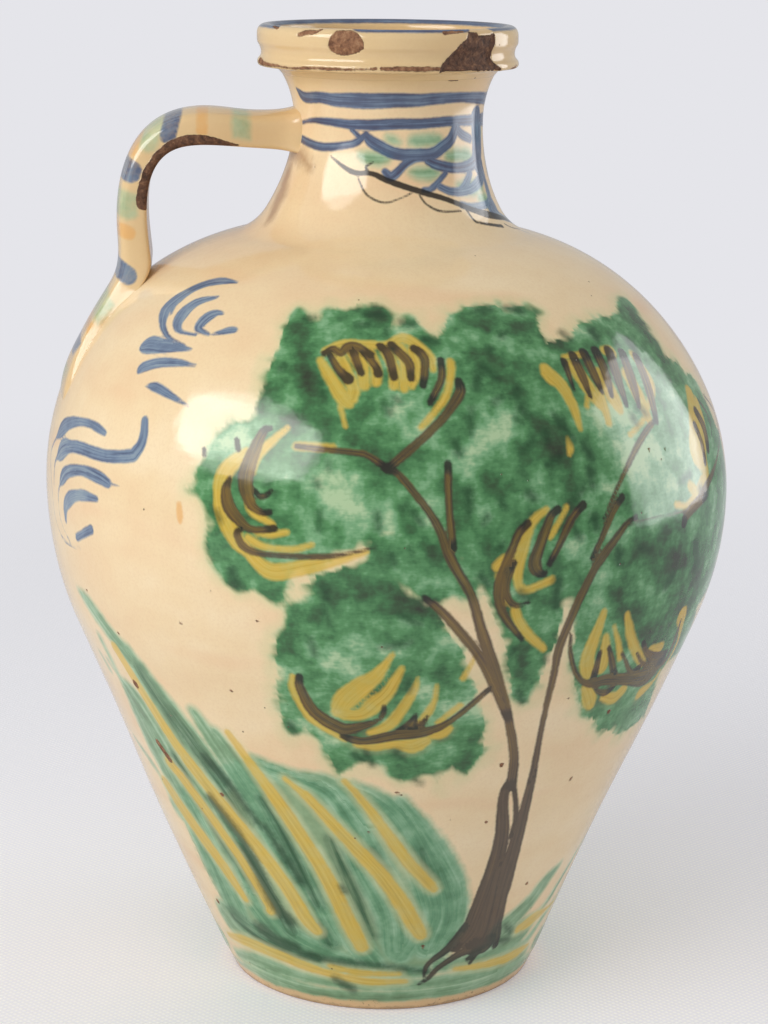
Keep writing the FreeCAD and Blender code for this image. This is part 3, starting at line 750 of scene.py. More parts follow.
# %% The blossom's yellow
TREE_YELLOW = [
    [(-11.3, 301.5, 3), (-6.8, 287, 6), (-5.5, 284, 3.8)],
    [(-10.5, 305.5, 3.6), (-7, 309, 4.1), (0.7, 309, 3.6), (4.5, 312, 4.7), (8.8, 304.5, 3.7),
     (9.3, 298.5, 3.1)],
    [(-8.5, 305.5, 4.6), (-5.1, 291.5, 5.2), (-5.1, 286.5, 5.2)],
    [(-5.5, 306.5, 5.4), (-3.5, 299, 5.2), (-3.1, 291.5, 4.4)],
    [(-2.5, 306, 4.6), (-1, 299, 4.5), (-1, 293, 3.7)],
    [(0.9, 306, 4.6), (2.3, 298, 4.5), (2.1, 291.5, 3.7)],
    [(3.6, 307.5, 4.6), (4.4, 299, 4.5), (3.8, 290.5, 3.7)],
    [(5.8, 306.5, 3.9), (6.6, 298.5, 3.7), (5.2, 291.5, 2.9)],
    [(-6.9, 282.5, 2.2), (-6.1, 275.5, 1.9)],
    [(12.7, 301.5, 3.1), (12.4, 296, 3.4), (11.4, 289.5, 2.9), (9.9, 284, 2.9), (6.1, 275, 2.2)],
    [(-13.9, 267, 3.4), (-8.1, 267, 3.4)],
    [(-22, 263, 4.7), (-24.7, 257.5, 6.4), (-25.8, 252, 7.1), (-25.8, 246, 6.8),
     (-25.3, 240.5, 7.2), (-24.2, 235, 7.6), (-22.9, 230, 6.7), (-21.1, 226.5, 5)],
    [(-15.6, 273.5, 1.9), (-18.7, 266.5, 3.9), (-20.1, 262, 3.6), (-20.9, 256.5, 3.6)],
    [(-21.9, 229, 5), (-19.8, 223, 5), (-17.9, 220, 6.4), (-15.6, 220, 6.5), (-10.4, 223.5, 5.6),
     (-2.9, 229, 2.2)],
    [(-21.1, 231.5, 3.2), (-18.8, 229, 3.1), (-16, 228.5, 2.7), (-13.2, 229, 2.6), (-11, 231, 2.2)],
    [(-21.2, 246, 3.2), (-20.5, 242, 3.6), (-17.2, 237.5, 2.7)],
    [(-19.8, 234, 2.7), (-17.5, 233.5, 2.6), (-14.9, 235, 2.2)],
    [(-15, 176, 3.3), (-15.1, 170, 3.9), (-13.2, 158.5, 4.4), (-11.2, 153.5, 4), (-7, 146.5, 2.5)],
    [(1.2, 188.5, 1.6), (-1.6, 178, 5.9), (-4, 173, 8.7), (-6.5, 166.5, 9.2), (-7.9, 160.5, 5.5)],
    [(2.7, 182, 2.8), (0.6, 171, 5.2), (-1.6, 165, 7.1), (-3.8, 160, 5.7), (-6.7, 159, 4.9)],
    [(5.3, 177.5, 1.6), (4.8, 171.5, 3.3), (2.2, 159, 4.8), (0.2, 153.5, 4.7), (-2.5, 150.5, 2.9)],
    [(8.5, 174, 1.6), (8.3, 166.5, 2.5), (7.5, 160.5, 3.6), (6.2, 156, 3.6)],
    [(14.4, 187, 1.8), (12.7, 176.5, 2.6)],
    [(12.9, 163.5, 3), (9.4, 155.5, 3)],
    [(-5, 144.5, 3), (-1.6, 143.5, 4), (2, 145, 4), (5.1, 144, 7.1), (7.4, 146.5, 5.1)],
    [(8.5, 149, 4.1), (10.2, 149.5, 4.6), (11.6, 152.5, 3)],
    [(30.9, 296, 4.5), (31.5, 292.5, 6.5), (32.7, 288.5, 5), (33.8, 280.5, 4.4), (33.8, 271, 2.4)],
    [(31, 268, 1.8), (31, 264.5, 3.1), (30.5, 262, 2.2)],
    [(36.2, 300, 2.5), (40.8, 300, 3)],
    [(47, 300, 4.2), (48.9, 299.5, 4.6), (48.8, 298, 3.4)],
    [(40.9, 284.5, 3.2), (40.5, 279.5, 4.3), (40.2, 271.5, 3.2)],
    [(37.7, 283, 2.3), (36.7, 279, 2.3)],
    [(54.7, 296, 4), (55.3, 284, 4.6), (53.8, 278.5, 3.3), (51.2, 274.5, 3.3)],
    [(49.1, 270.5, 2.5), (44.1, 265.5, 2.2)],
    [(68.3, 273.5, 7.3), (62.7, 259, 5.9), (61.5, 252.5, 8.8), (62.7, 247.5, 7)],
    [(62.5, 239, 6.9), (59.6, 234.5, 7.6), (56.2, 233, 3.8), (52.5, 235, 2.7)],
    [(25.2, 242.5, 2.7), (23.4, 240, 3.6), (21.8, 235.5, 3.6), (19.3, 225.5, 3.7), (18, 224.5, 4.8),
     (16.8, 222.5, 4)],
    [(28.6, 242.5, 2.5), (25.5, 232, 2.6)],
    [(22.1, 235, 2.9), (20.3, 222, 4.1), (20.2, 216, 3.9), (21.4, 212.5, 3.5), (25.9, 215.5, 3)],
    [(20, 205, 3.9), (20.8, 200, 4.2), (22.5, 194.5, 4.1), (26, 186.5, 2.6)],
    [(17.3, 218.5, 3.8), (18.4, 208.5, 3.9)],
    [(36.5, 198.5, 3.5), (35.4, 185.5, 6.5), (35.3, 178, 7.4), (36.6, 171, 6.5)],
    [(38.1, 187.5, 3.5), (38.9, 180, 5.6), (39.4, 172.5, 6)],
    [(39.4, 191.5, 2.1), (43.5, 175, 3.4)],
    [(41.9, 195.5, 2.8), (43.8, 186.5, 4.6), (47.2, 176.5, 5.1), (51.4, 168, 4.6)],
    [(60.2, 185, 8.1), (63.2, 175, 2.6), (64.8, 166.5, 2.6), (64.1, 160.5, 2.6)],
    [(52.1, 173.5, 5.2), (55.7, 172.5, 6)],
    [(37, 164.5, 4.2), (39.1, 157.5, 7.2), (40.1, 153.5, 4.6)],
    [(43, 156.5, 4), (46.3, 154, 6.4), (48.1, 156.5, 6.7)],
    [(55.9, 150.5, 6.4), (60, 153, 3), (61.6, 157.5, 2.2)],
]
RIGHT_YELLOW = [
    [(30.6, 294, 4.4), (32.3, 291, 6), (33.4, 285.5, 5), (33.8, 280, 2.9)],
    [(37.3, 295, 6.6), (38.7, 285, 6.5), (39.7, 279, 4.3)],
    [(42.7, 290.5, 7.1), (43.4, 280.5, 7), (43.7, 275.5, 3.5)],
    [(49.8, 288.5, 6.8), (49.9, 278, 6.7), (50.1, 268.5, 4)],
    [(70.1, 270, 3.5), (67.2, 261, 12.3), (64.5, 251, 9), (64.4, 242, 6.9)],
    [(57.5, 240.5, 4.6), (60, 234.5, 5.9), (56.9, 232, 3)],
]
brush("yellow", TREE_YELLOW + RIGHT_YELLOW)

# %% Dark green touches between the leaves
DARK_GREEN_TOUCHES = [
    [(-18.5, 297, 3.1), (-17.9, 298, 3.1)],
    [(-15.4, 320.5, 3.7), (-14.2, 321, 2.6)],
    [(-3.3, 323.5, 3.1), (0.2, 323.5, 3.1)],
    [(-4.4, 318.5, 3), (-2.7, 318.5, 3)],
    [(1, 317, 1.9), (1.1, 313, 1.9)],
    [(4.3, 319.5, 3.5), (6.4, 319, 3.5)],
    [(8.8, 311.5, 3.3), (10.5, 310.5, 3.3)],
    [(-10.4, 291.5, 2.2), (-10.1, 287.5, 2.2)],
    [(0.3, 284, 3.1), (1.1, 281, 2.7), (1.8, 284.5, 1.8)],
    [(2.2, 286, 2.4), (3, 285, 1.6)],
    [(11.4, 270, 3.1), (11.8, 265.5, 3.4)],
    [(14.9, 282, 2.7), (14, 272.5, 2.6)],
    [(17.3, 295, 3.4), (16.5, 290.5, 3.8)],
    [(18.7, 298.5, 3.6), (20.8, 293.5, 2.7)],
    [(20.5, 286, 2.6), (19.1, 284, 2.2)],
    [(24, 288.5, 3.6), (23.3, 285.5, 3.2)],
    [(23.9, 281, 4.4), (24.2, 279, 3.9)],
    [(22.3, 277, 2.5), (23, 276, 2.5)],
    [(21.4, 324.5, 3.6), (24.8, 325.5, 3.2)],
    [(28.9, 325, 3.6), (31.8, 323.5, 4.8)],
    [(25.1, 313, 3.1), (24.2, 311.5, 2.3)],
    [(21.4, 306.5, 2.3), (20.8, 304.5, 1.9)],
    [(29.6, 276.5, 4.1), (31.9, 267.5, 4.2)],
    [(27, 271, 3), (27, 267.5, 2.6)],
    [(24.6, 268.5, 2.6), (22.4, 264.5, 3)],
    [(28.7, 261.5, 3), (26.4, 259, 2.6)],
    [(22.3, 249.5, 2.8), (23, 247, 3.2)],
    [(17.8, 247, 3.1), (18.3, 245, 2.7)],
    [(32, 248.5, 3.8), (30.3, 245, 3.3)],
    [(33.8, 264, 3.8), (34.4, 260, 3.8)],
    [(33.8, 254.5, 4.2), (33.8, 249.5, 3.8)],
    [(21.7, 257, 2.4), (22.2, 255, 2)],
    [(46.9, 309, 4.8), (47, 305.5, 4.1)],
    [(38.9, 310, 3.7), (39.8, 307, 3)],
    [(56.3, 301, 5.8), (56.1, 296.5, 4.9)],
    [(12.7, 251, 3.4), (12.7, 244.5, 3)],
    [(-10, 243, 1.9), (-9.9, 237, 1.9)],
    [(-1.1, 243, 2.2), (-1, 237.5, 2.9)],
    [(4.1, 244, 2.6), (5.1, 240, 3)],
    [(-9.3, 215, 3), (-9, 211, 3.1)],
    [(0.8, 228, 2.2), (1.2, 224.5, 2.2)],
    [(3.6, 230.5, 1.8), (4, 229, 1.8)],
    [(-24, 218, 3.5), (-23.2, 214, 2.6)],
    [(-10.5, 254.5, 2.2), (-10.2, 253, 1.9)],
    [(-8.7, 262, 1.5), (-8.5, 259, 1.5)],
    [(3.3, 246.5, 1.8), (2.5, 245.5, 1.8)],
    [(-26.3, 239.5, 2.6), (-25.8, 237, 2.1)],
    [(14.3, 219.5, 3.7), (15.3, 216, 3.3)],
    [(15.5, 241.5, 2.7), (14.7, 239, 2.3)],
    [(17.7, 231, 2), (16.8, 229, 2)],
    [(30.2, 232.5, 3), (30.8, 230, 2.6)],
    [(33.3, 237.5, 3.6), (34, 233.5, 3.2)],
    [(27, 214.5, 4), (27, 204.5, 3.2)],
    [(20.6, 211.5, 3), (22, 209, 3)],
    [(20.5, 188, 2.8), (20.1, 185, 2.3)],
    [(26.5, 183, 2.5), (26.9, 180.5, 2.1)],
    [(22.9, 168, 2.3), (24.2, 162.5, 3.1)],
    [(-9.2, 206, 1.9), (-8.5, 200, 1.9)],
    [(2.1, 204.5, 2.4), (4.9, 201.5, 3.2)],
    [(-0.8, 191, 2.1), (3.8, 193.5, 3)],
    [(-11.7, 193.5, 2.4), (-11, 187, 2.4)],
    [(2.4, 141, 3.3), (3, 138.5, 2.4)],
    [(-3.4, 141, 2.5), (-2.1, 134.5, 2.5)],
    [(-16.8, 152.5, 3.4), (-16.2, 148.5, 2.9)],
    [(6.2, 127, 2.7), (7.3, 125, 2.2)],
    [(-5.3, 139.5, 2.9), (-4, 137, 2.9)],
    [(3.7, 172, 2.7), (3.9, 175.5, 2.3)],
    [(8.8, 180, 2.1), (9.1, 181.5, 1.7)],
    [(38.2, 223, 3.6), (38.5, 219, 3.1)],
    [(43, 222, 1.9), (45.4, 220.5, 1.5)],
    [(52.4, 205.5, 4.9), (51, 203, 4.8)],
    [(59.1, 216.5, 6), (61, 207, 6.9)],
    [(54.4, 243, 2.7), (58, 244.5, 3.5)],
    [(61.1, 237.5, 4.1), (63.9, 234, 3.8)],
    [(48.4, 275, 4.2), (49.7, 272.5, 3.6)],
    [(46.2, 271.5, 3.6), (46.5, 269.5, 3.6)],
    [(-37.9, 126.5, 4.4), (-34.6, 119, 4.8), (-27.1, 96, 3)],
    [(-26.3, 96.5, 3.5), (-19.8, 69.5, 3.9)],
    [(-40.1, 105, 4.6), (-36, 94, 5.7), (-32.5, 79.5, 6.1), (-29.1, 54, 6.7), (-25.6, 45.5, 5.9)],
    [(-37, 36.5, 8.2), (-32.1, 32, 8.2), (-26.3, 30.5, 6.1)],
    [(-25, 28, 3.9), (-15.3, 26.5, 4.9), (0.3, 25, 3.5), (16.4, 20, 2.4)],
    [(-14.5, 15.5, 3.7), (-9.4, 10.5, 4.8)],
    [(-9.1, 68.5, 2.4), (-8.6, 66.5, 2.4)],
    [(-36.4, 95, 4.3), (-35.1, 90.5, 3.5)],
    [(40.5, 38, 2.9), (44, 33, 3.5)],
    [(40.6, 29.5, 4.6), (43.7, 29, 4.1)],
]
brush("dark_green", DARK_GREEN_TOUCHES)

# %% The brown stems and combs
TREE_BRANCHES = [
    [(-10.1, 305.5, 2.6), (-7.8, 298, 3.1), (-5.9, 294, 4.7)],
    [(-10.8, 304.5, 2.7), (-9.2, 306.5, 3.1), (-7.6, 305, 3.1), (-6.4, 308, 3.6), (-4.6, 308, 3.6),
     (-2.1, 304.5, 3.7)],
    [(-5.6, 307.5, 3.4), (-3.6, 296.5, 3)],
    [(-3.3, 306, 3.6), (-1, 299.5, 3.1), (-0.6, 296.5, 3.8)],
    [(-0.2, 308.5, 3.3), (1.3, 304.5, 3.6), (2.2, 295, 3.3)],
    [(1.9, 309, 3.5), (4.9, 301.5, 3.5), (5.2, 294.5, 3)],
    [(6.2, 307.5, 3.5), (7.5, 305, 3.8), (8, 301, 3.5), (7.2, 291.5, 2.9)],
    [(11, 302, 3.1), (10.5, 294, 3), (8, 284.5, 2.5)],
    [(13.6, 293, 3.5), (13.5, 288.5, 4.1), (10.9, 281, 3.6), (7.5, 273.5, 3.3), (0.4, 259.5, 3.6)],
    [(-13.9, 267, 2.2), (-4.5, 265.5, 2.6), (-2.2, 264, 2.6), (0.4, 260, 3)],
    [(-18.5, 273, 2.4), (-19.8, 270.5, 4), (-21.8, 255, 6.5), (-21, 245.5, 4.8),
     (-19.8, 242.5, 3.1), (-18.7, 241.5, 2.6), (-17.6, 242, 2.6)],
    [(-20.3, 249.5, 2.3), (-19.4, 247.5, 2.6), (-18.3, 248, 2.6), (-17.5, 250, 1.5)],
    [(-24.5, 253, 2.1), (-25, 249, 3.8), (-24.7, 244.5, 5.5), (-23.6, 240, 5.4), (-20.7, 235, 3.1),
     (-16.9, 236, 3)],
    [(-22.1, 235, 1.9), (-22.9, 232.5, 3.3), (-21.4, 227.5, 3.3), (-17.5, 226, 2.3),
     (-8.3, 227, 2.3), (-1.2, 231, 0.7)],
    [(-24, 267.5, 2.5), (-23.6, 264, 2.5)],
    [(-29.7, 262.5, 2.2), (-29.5, 260.5, 2.2)],
    [(0.4, 259.5, 3.3), (2.4, 257, 3), (7.4, 240.5, 3.3), (9.8, 225.5, 4.1), (12.8, 212, 3.7),
     (14.7, 198, 4.5), (17.2, 183, 4.9), (22.1, 156, 4)],
    [(9.9, 261.5, 3), (9.6, 246, 3), (10, 230, 3.4)],
    [(5.8, 211.5, 2.6), (8.9, 204.5, 3.7), (14.1, 189, 4.1), (17.4, 176.5, 4.5),
     (21.7, 156.5, 3.5)],
    [(-13.9, 176.5, 3.2), (-14, 171.5, 3.9), (-12.1, 160, 5.3), (-8.1, 153, 6.1), (-5.6, 152.5, 5),
     (-1.4, 156.5, 2.3), (-0.2, 160, 2.4), (-0, 164, 1.9)],
    [(-7.3, 148.5, 3), (-5.7, 147, 4), (-3.2, 146.5, 4), (2.1, 149.5, 5), (7.4, 151, 4.6),
     (11.8, 156.5, 3), (17.8, 171, 3.1)],
    [(2.8, 151.5, 3.9), (4.5, 154.5, 4.2), (5.4, 159.5, 2.2)],
    [(4.9, 152, 3.4), (6.4, 154.5, 3.3), (7.5, 159, 1.4)],
    [(22.1, 156, 3.7), (25.5, 134.5, 4.2), (26.9, 118.5, 5.3)],
    [(21.9, 238, 3.2), (20.5, 235, 3.6), (19.5, 230.5, 3.6), (17.7, 220, 4.1), (17.2, 213.5, 4.8),
     (17.5, 207.5, 4.2), (18.6, 201.5, 3.4), (21.8, 192, 2.2)],
    [(19.5, 223.5, 2.9), (18.5, 218.5, 3.7), (18.3, 212.5, 3.5), (19.4, 207.5, 2.6),
     (20.8, 206.5, 2.1), (22.2, 207.5, 1.7)],
    [(27.1, 242, 3.6), (25.6, 239, 3.7), (23.2, 226, 5.1), (22.9, 221.5, 5.7), (23.8, 218.5, 3.7),
     (24.7, 218, 2.3)],
    [(31.7, 242.5, 3.8), (29.9, 239, 3.4), (28.5, 234.5, 3.5), (25.3, 221.5, 2.6)],
    [(39.5, 243, 3.4), (37.1, 237.5, 3.4), (33, 221.5, 2.5)],
    [(63, 234.5, 5.7), (56.1, 230, 4.6), (54.8, 226.5, 4)],
    [(42.2, 234.5, 2.3), (39.7, 232, 2.9), (34.8, 221, 4.5), (33.3, 216, 4), (31, 205, 4.1),
     (29.3, 192, 4.1), (28.8, 184.5, 4.1), (29, 176, 3.6), (29.9, 146.5, 2.8), (31.8, 116.5, 4.1)],
    [(30.7, 191, 1.5), (30.9, 186, 1.9), (32, 179.5, 2.3), (33.7, 172.5, 2.4), (36.3, 167, 2.9),
     (38.9, 165.5, 5), (41.7, 165.5, 5.9), (45.9, 163.5, 5.9), (50.6, 161, 7.3),
     (55.8, 159.5, 10.4), (59.8, 161, 3.5), (62.3, 164.5, 3.5), (60.6, 182.5, 1.7)],
    [(37.7, 180.5, 2.5), (38.2, 169, 4)],
    [(39.5, 182, 2.2), (43.4, 167, 4.1)],
    [(43.3, 177.5, 1.7), (48.1, 166, 2.6), (50.5, 166, 4.5)],
    [(47.8, 175, 1.6), (51, 168.5, 2.2), (55.1, 164, 4.7), (59.3, 163, 7.8)],
    [(48.5, 179.5, 2.4), (51.3, 173, 3.2), (56, 167.5, 6.4), (60.1, 167.5, 3.5)],
    [(39, 164.5, 2.1), (40.7, 160.5, 2.4), (43.2, 158.5, 3.7), (44.6, 160.5, 3.4)],
]
RIGHT_BRANCH = [
    [(35.4, 236, 1.5), (37.9, 244.5, 1.9), (41, 252.5, 2.4), (44.9, 260.5, 3), (49.1, 266.5, 2.9),
     (52.1, 269, 1.8)],
    [(39.9, 232, 1), (45.4, 232.5, 0.9), (51.2, 232, 1), (57.6, 232, 2), (63.7, 237, 4.1),
     (70.9, 243.5, 1.7), (79, 251.5, 1.7), (81.4, 259.5, 1.7), (76.8, 269, 1.3)],
    [(35.7, 298, 3.6), (35.2, 286, 1.5)],
    [(38.4, 300, 4.4), (38.3, 291, 4.3), (38.2, 282.5, 2.1)],
    [(41.4, 300.5, 4.7), (41.2, 291, 4.5), (41.2, 283.5, 2.2)],
    [(44.7, 300.5, 4.9), (44.1, 290.5, 4.7), (43.1, 281.5, 2.3)],
    [(48.2, 299.5, 5.2), (46.6, 288, 4.9), (45.7, 277, 2.4)],
    [(51.7, 297.5, 4.9), (50.1, 286, 5.3), (48.8, 275.5, 2.5)],
    [(55.3, 294.5, 4.7), (53.8, 282, 5.1), (51.9, 268.5, 3.4)],
    [(71.2, 269.5, 1.7), (73.6, 261.5, 1.7), (72, 254, 1.3)],
    [(67.4, 266, 4.9), (68.6, 259, 5.4), (67.6, 250.5, 4)],
    [(64.6, 261.5, 4.4), (65.3, 254, 3.5), (64.9, 246.5, 3.5)],
]
TREE_TRUNK = [
    [(25.9, 121, 3.3), (25.8, 116.5, 4.8), (26.3, 109.5, 5.1), (29, 89, 7.2), (29.5, 70, 9.1),
     (28.3, 43, 10.8), (26.6, 36, 8.5), (23.5, 32, 5.1)],
    [(31.3, 125, 3.6), (33.3, 91.5, 6.4), (34.2, 64, 9.1), (34.7, 55.5, 7.8), (35.7, 38.5, 8.5),
     (35.2, 32, 7.2)],
    [(27.6, 118.5, 2.4), (30.9, 101.5, 2.8), (31.8, 90.5, 3.6)],
    [(30.3, 78, 6), (31.3, 55.5, 9.8), (31.7, 39, 10.7), (30, 32, 9.4)],
    [(35.6, 45.5, 4), (38.1, 36, 4), (39, 27.5, 3.6)],
    [(26.9, 43.5, 8), (21.8, 33, 5), (16, 25.5, 2.9), (14.7, 21, 2), (14.7, 17, 1.4)],
    [(32.6, 30, 6.3), (27.3, 29, 5.4), (23.3, 26, 3.9), (19, 21.5, 3.1), (16.1, 16, 2.4),
     (13.2, 13.5, 1.8)],
    [(34.3, 29, 6), (29.2, 24, 2.8)],
    [(32.3, 27.5, 3.6), (30.4, 21, 2)],
    [(36.7, 32.5, 6.3), (34.4, 28, 5.3), (30.3, 28.5, 4)],
]
brush("brown", TREE_BRANCHES + RIGHT_BRANCH + TREE_TRUNK)

# %% [markdown]
# ## The grass and the foot
# Long green and yellow blades sweep down from the left to the foot of the tree, and the same green
# runs round the foot above its bare edge.

# %% The grass
GRASS_BLADES = [
    [(-59.6, 172.5, 3.5), (-57.8, 149.5, 5.2), (-54.7, 126.5, 17.5), (-51.2, 103.5, 17.3),
     (-48.3, 79.5, 18.5), (-46.7, 59, 18), (-45.7, 40.5, 13.8)],
    [(-50.1, 171.5, 10), (-46.5, 146.5, 14.6), (-38.8, 95, 15), (-35, 70.5, 15.7),
     (-32.6, 47, 15.5), (-29.1, 34, 12.4)],
    [(-36.7, 149.5, 7), (-33.9, 136, 10.6), (-25.1, 96, 12.6), (-17.4, 52, 14),
     (-14.2, 38.5, 11.7)],
    [(-33.2, 141.5, 7.9), (-28.4, 123, 11), (-21.9, 105, 12.2), (-17.1, 87.5, 12.5),
     (-7.5, 42, 13.9), (-1.2, 25.5, 10.8)],
    [(-26.7, 129, 5.9), (-18.5, 124, 9.9), (-11.5, 118, 12.2), (-6.5, 100, 15.4), (-1.6, 79, 17.5),
     (4.5, 54, 18.2), (6.3, 34, 14.7)],
    [(-20.4, 127, 4.4), (-12.3, 125.5, 7.4), (-7.4, 118.5, 9.8), (-2.3, 106, 13)],
    [(-8.4, 124.5, 5.2), (-2.4, 119, 8.8), (2.9, 108.5, 12.3), (8, 92, 15.4), (13.2, 72, 18.3),
     (16.9, 52, 20.5), (15.3, 35.5, 16.8)],
    [(3.6, 116, 6), (9.7, 100, 8.2), (15.6, 82.5, 9.5), (20.6, 65, 9.4), (22, 45, 10.7),
     (18.7, 31.5, 11.2)],
    [(3, 62.5, 17.4), (9, 42, 16.3), (6.4, 31, 11.3)],
    [(-35.6, 54, 17.1), (-28.6, 37, 18.4), (-18.2, 29, 15.2), (-9.1, 25, 11.9)],
    [(-52.3, 40, 10.1), (-44.8, 34, 13.8), (-35.4, 30.5, 14.1), (-25.2, 27, 13.5), (-13.9, 24, 11),
     (0.3, 21.5, 9.3), (13.1, 20, 8.3)],
    [(-63.2, 192, 1.3), (-59.1, 187.5, 8.7), (-53.1, 175.5, 9.6), (-50.1, 169, 12.1),
     (-47.3, 161, 12.1), (-39.8, 135.5, 13), (-35.5, 116.5, 12.4)],
    [(-60.6, 161, 2.2), (-58.2, 154, 3.5), (-54.5, 144, 14.9), (-48, 113, 17.3),
     (-45.5, 102, 16.1)],
    [(-66.7, 118.5, 2.2), (-61.2, 111.5, 3.5), (-57.2, 102.5, 4.3), (-54.1, 91.5, 15.1)],
    [(-36.7, 149.5, 3.5), (-34.7, 142, 6.1), (-30, 127.5, 8.1), (-27.8, 118.5, 7.7)],
    [(-25.8, 133.5, 1.8), (-23.3, 131, 4), (-12.4, 124, 6.4)],
    [(-64.1, 162, 1.3), (-62.3, 155, 2.2)],
]
GRASS_DEEP = [
    [(-48.2, 164.5, 5.7), (-46.2, 154.5, 7.2), (-36.3, 119.5, 8.4), (-33.4, 108, 7.9),
     (-31.3, 97.5, 6.4)],
    [(-47.9, 121, 6.6), (-40.1, 85, 8), (-36.9, 72, 7.6), (-34.4, 60, 5.8)],
    [(-25.6, 111.5, 4.5), (-23.4, 100.5, 6.6), (-20.9, 86.5, 7.5), (-18.4, 71, 7.4),
     (-16, 57.5, 5.2)],
    [(-11, 94, 4.6), (-7, 70.5, 7.2), (-1.8, 42.5, 4.5)],
    [(-35, 82, 5.7), (-31.8, 69, 6.8), (-25.8, 40, 7.6)],
    [(1.5, 79, 3.5), (-1.6, 90, 3.5)],
    [(9.3, 89, 3.9), (12.2, 72.5, 4)],
    [(-47.5, 38, 10.6), (-39.7, 32.5, 10.4), (-30.3, 28, 8.6), (-20.2, 27, 6.4)],
    [(-16.4, 46.5, 5.3), (-14.4, 35.5, 6.3)],
]
GRASS_YELLOW = [
    [(-56.6, 103, 6.8), (-53.4, 93.5, 8.4), (-44.9, 70.5, 7.5), (-39.7, 52, 4.2)],
    [(-50.7, 116.5, 6.3), (-46.1, 106.5, 6.3), (-37.7, 81, 5.4), (-31.5, 53, 4.8),
     (-31.6, 48.5, 3.8)],
    [(-43.9, 123, 7.6), (-40.2, 112.5, 7.7), (-31.2, 88, 7.3), (-26.9, 75, 7.6), (-23.4, 62.5, 7.2),
     (-20.5, 49.5, 7), (-18, 42.5, 5.3)],
    [(-27, 130.5, 4.7), (-21, 107.5, 6.5), (-13.6, 77.5, 6.6), (-7.8, 48, 7.2), (-4.9, 35.5, 5.7)],
    [(-15.7, 117, 4.2), (-7.6, 96, 5.8), (1.6, 73.5, 6.8), (10.1, 47.5, 6.8), (12.2, 41.5, 5)],
    [(-7.4, 125.5, 2.8), (-4, 116, 3.6), (3.5, 92.5, 5.2), (7.8, 80.5, 5.3), (12.3, 71, 4.8),
     (14.1, 67, 3.4)],
    [(-54.3, 171, 5.9), (-47.4, 136, 6.6), (-43.9, 123, 6.8)],
    [(-30, 143, 3.7), (-27, 130.5, 4.7)],
    [(-19.6, 124, 2.2), (-15.7, 116.5, 4.2)],
]
FOOT_GREEN = [
    [(-53.1, 36.5, 13.5), (-49.5, 30.5, 16.3), (-39.6, 27, 11.8), (-25.5, 25, 9.4),
     (-12.3, 24, 8.5), (1.8, 22, 7.6), (14.8, 20.5, 7.1)],
    [(-77.7, 0, 4.3), (-55.4, 6.5, 6.1), (-40.3, 6.5, 14.3), (-25.5, 5.5, 10.4), (-12.3, 6, 9.3),
     (1.8, 6.5, 9), (17.7, 7, 9.4), (33.3, 7, 11.2), (49.8, 8, 16.9), (68.8, 6, 5.2)],
    [(-59.1, 11.5, 6.1), (-43.4, 15, 10.7), (-27.6, 14, 8.3), (-13.3, 13, 7.3), (1.8, 13, 8.3),
     (17, 13.5, 8.6), (31.8, 14, 9.7), (45.5, 12.5, 11), (59.9, 14, 5.2)],
    [(19.6, 23, 9.9), (30, 23.5, 9.6), (41.4, 26, 15.3), (49.4, 30.5, 17.5), (55.5, 35.5, 6.1),
     (61.1, 42.5, 5.2), (67.8, 61, 3.5), (72.3, 67, 2.6)],
    [(39, 35.5, 13.3), (48.2, 47.5, 10.6), (52.1, 56, 9.7), (56.9, 62.5, 3.5)],
    [(46, 18.5, 15.8), (55.9, 21.5, 7), (64.2, 32, 5.2), (73.1, 40.5, 3.5)],
]
FOOT_YELLOW = [
    [(-59.1, 22, 3), (-46.4, 24.5, 6.7), (-34.4, 23.5, 6.1), (-24.2, 20.5, 5.4), (-14.5, 18, 4.3),
     (-3.5, 15.5, 4.1), (8.4, 15.5, 2.4)],
    [(-15.6, 23, 3.1), (-6.1, 20.5, 3.6), (6.3, 20, 2.3)],
    [(25.2, 19.5, 2.5), (44, 17, 5.1), (52.6, 17, 5.7), (59.9, 17.5, 1.7)],
    [(48.1, 33, 5.1), (54.2, 34.5, 7.5), (62, 35.5, 3), (74.2, 36, 3), (73.6, 42, 2.2)],
]
GRASS_MASS = [
    (-54.2, 96.5), (-50.3, 104), (-39.3, 118), (-26.3, 133.5), (-12.4, 123.5), (-8.4, 122.5),
    (-6, 125.5), (-2, 118), (3.6, 116), (6.2, 113), (13.9, 95), (19.8, 78), (24.2, 61), (24, 41.5),
    (14.8, 20), (-3, 20), (-12.4, 22.5), (-22.1, 25), (-39.6, 27), (-50.5, 35.5), (-54.1, 60),
    (-54.7, 86),
]
fill("wash", GRASS_MASS)
brush("grass", GRASS_BLADES + FOOT_GREEN)
brush("deep_grass", GRASS_DEEP)
brush("yellow", GRASS_YELLOW + FOOT_YELLOW)

# %% [markdown]
# ## Blue on the neck and the shoulder
# Two stripes run round the neck, with scales and green dabs under them, bounded by a thin dark
# line. To the left of the tree the painter set blue scrolls.

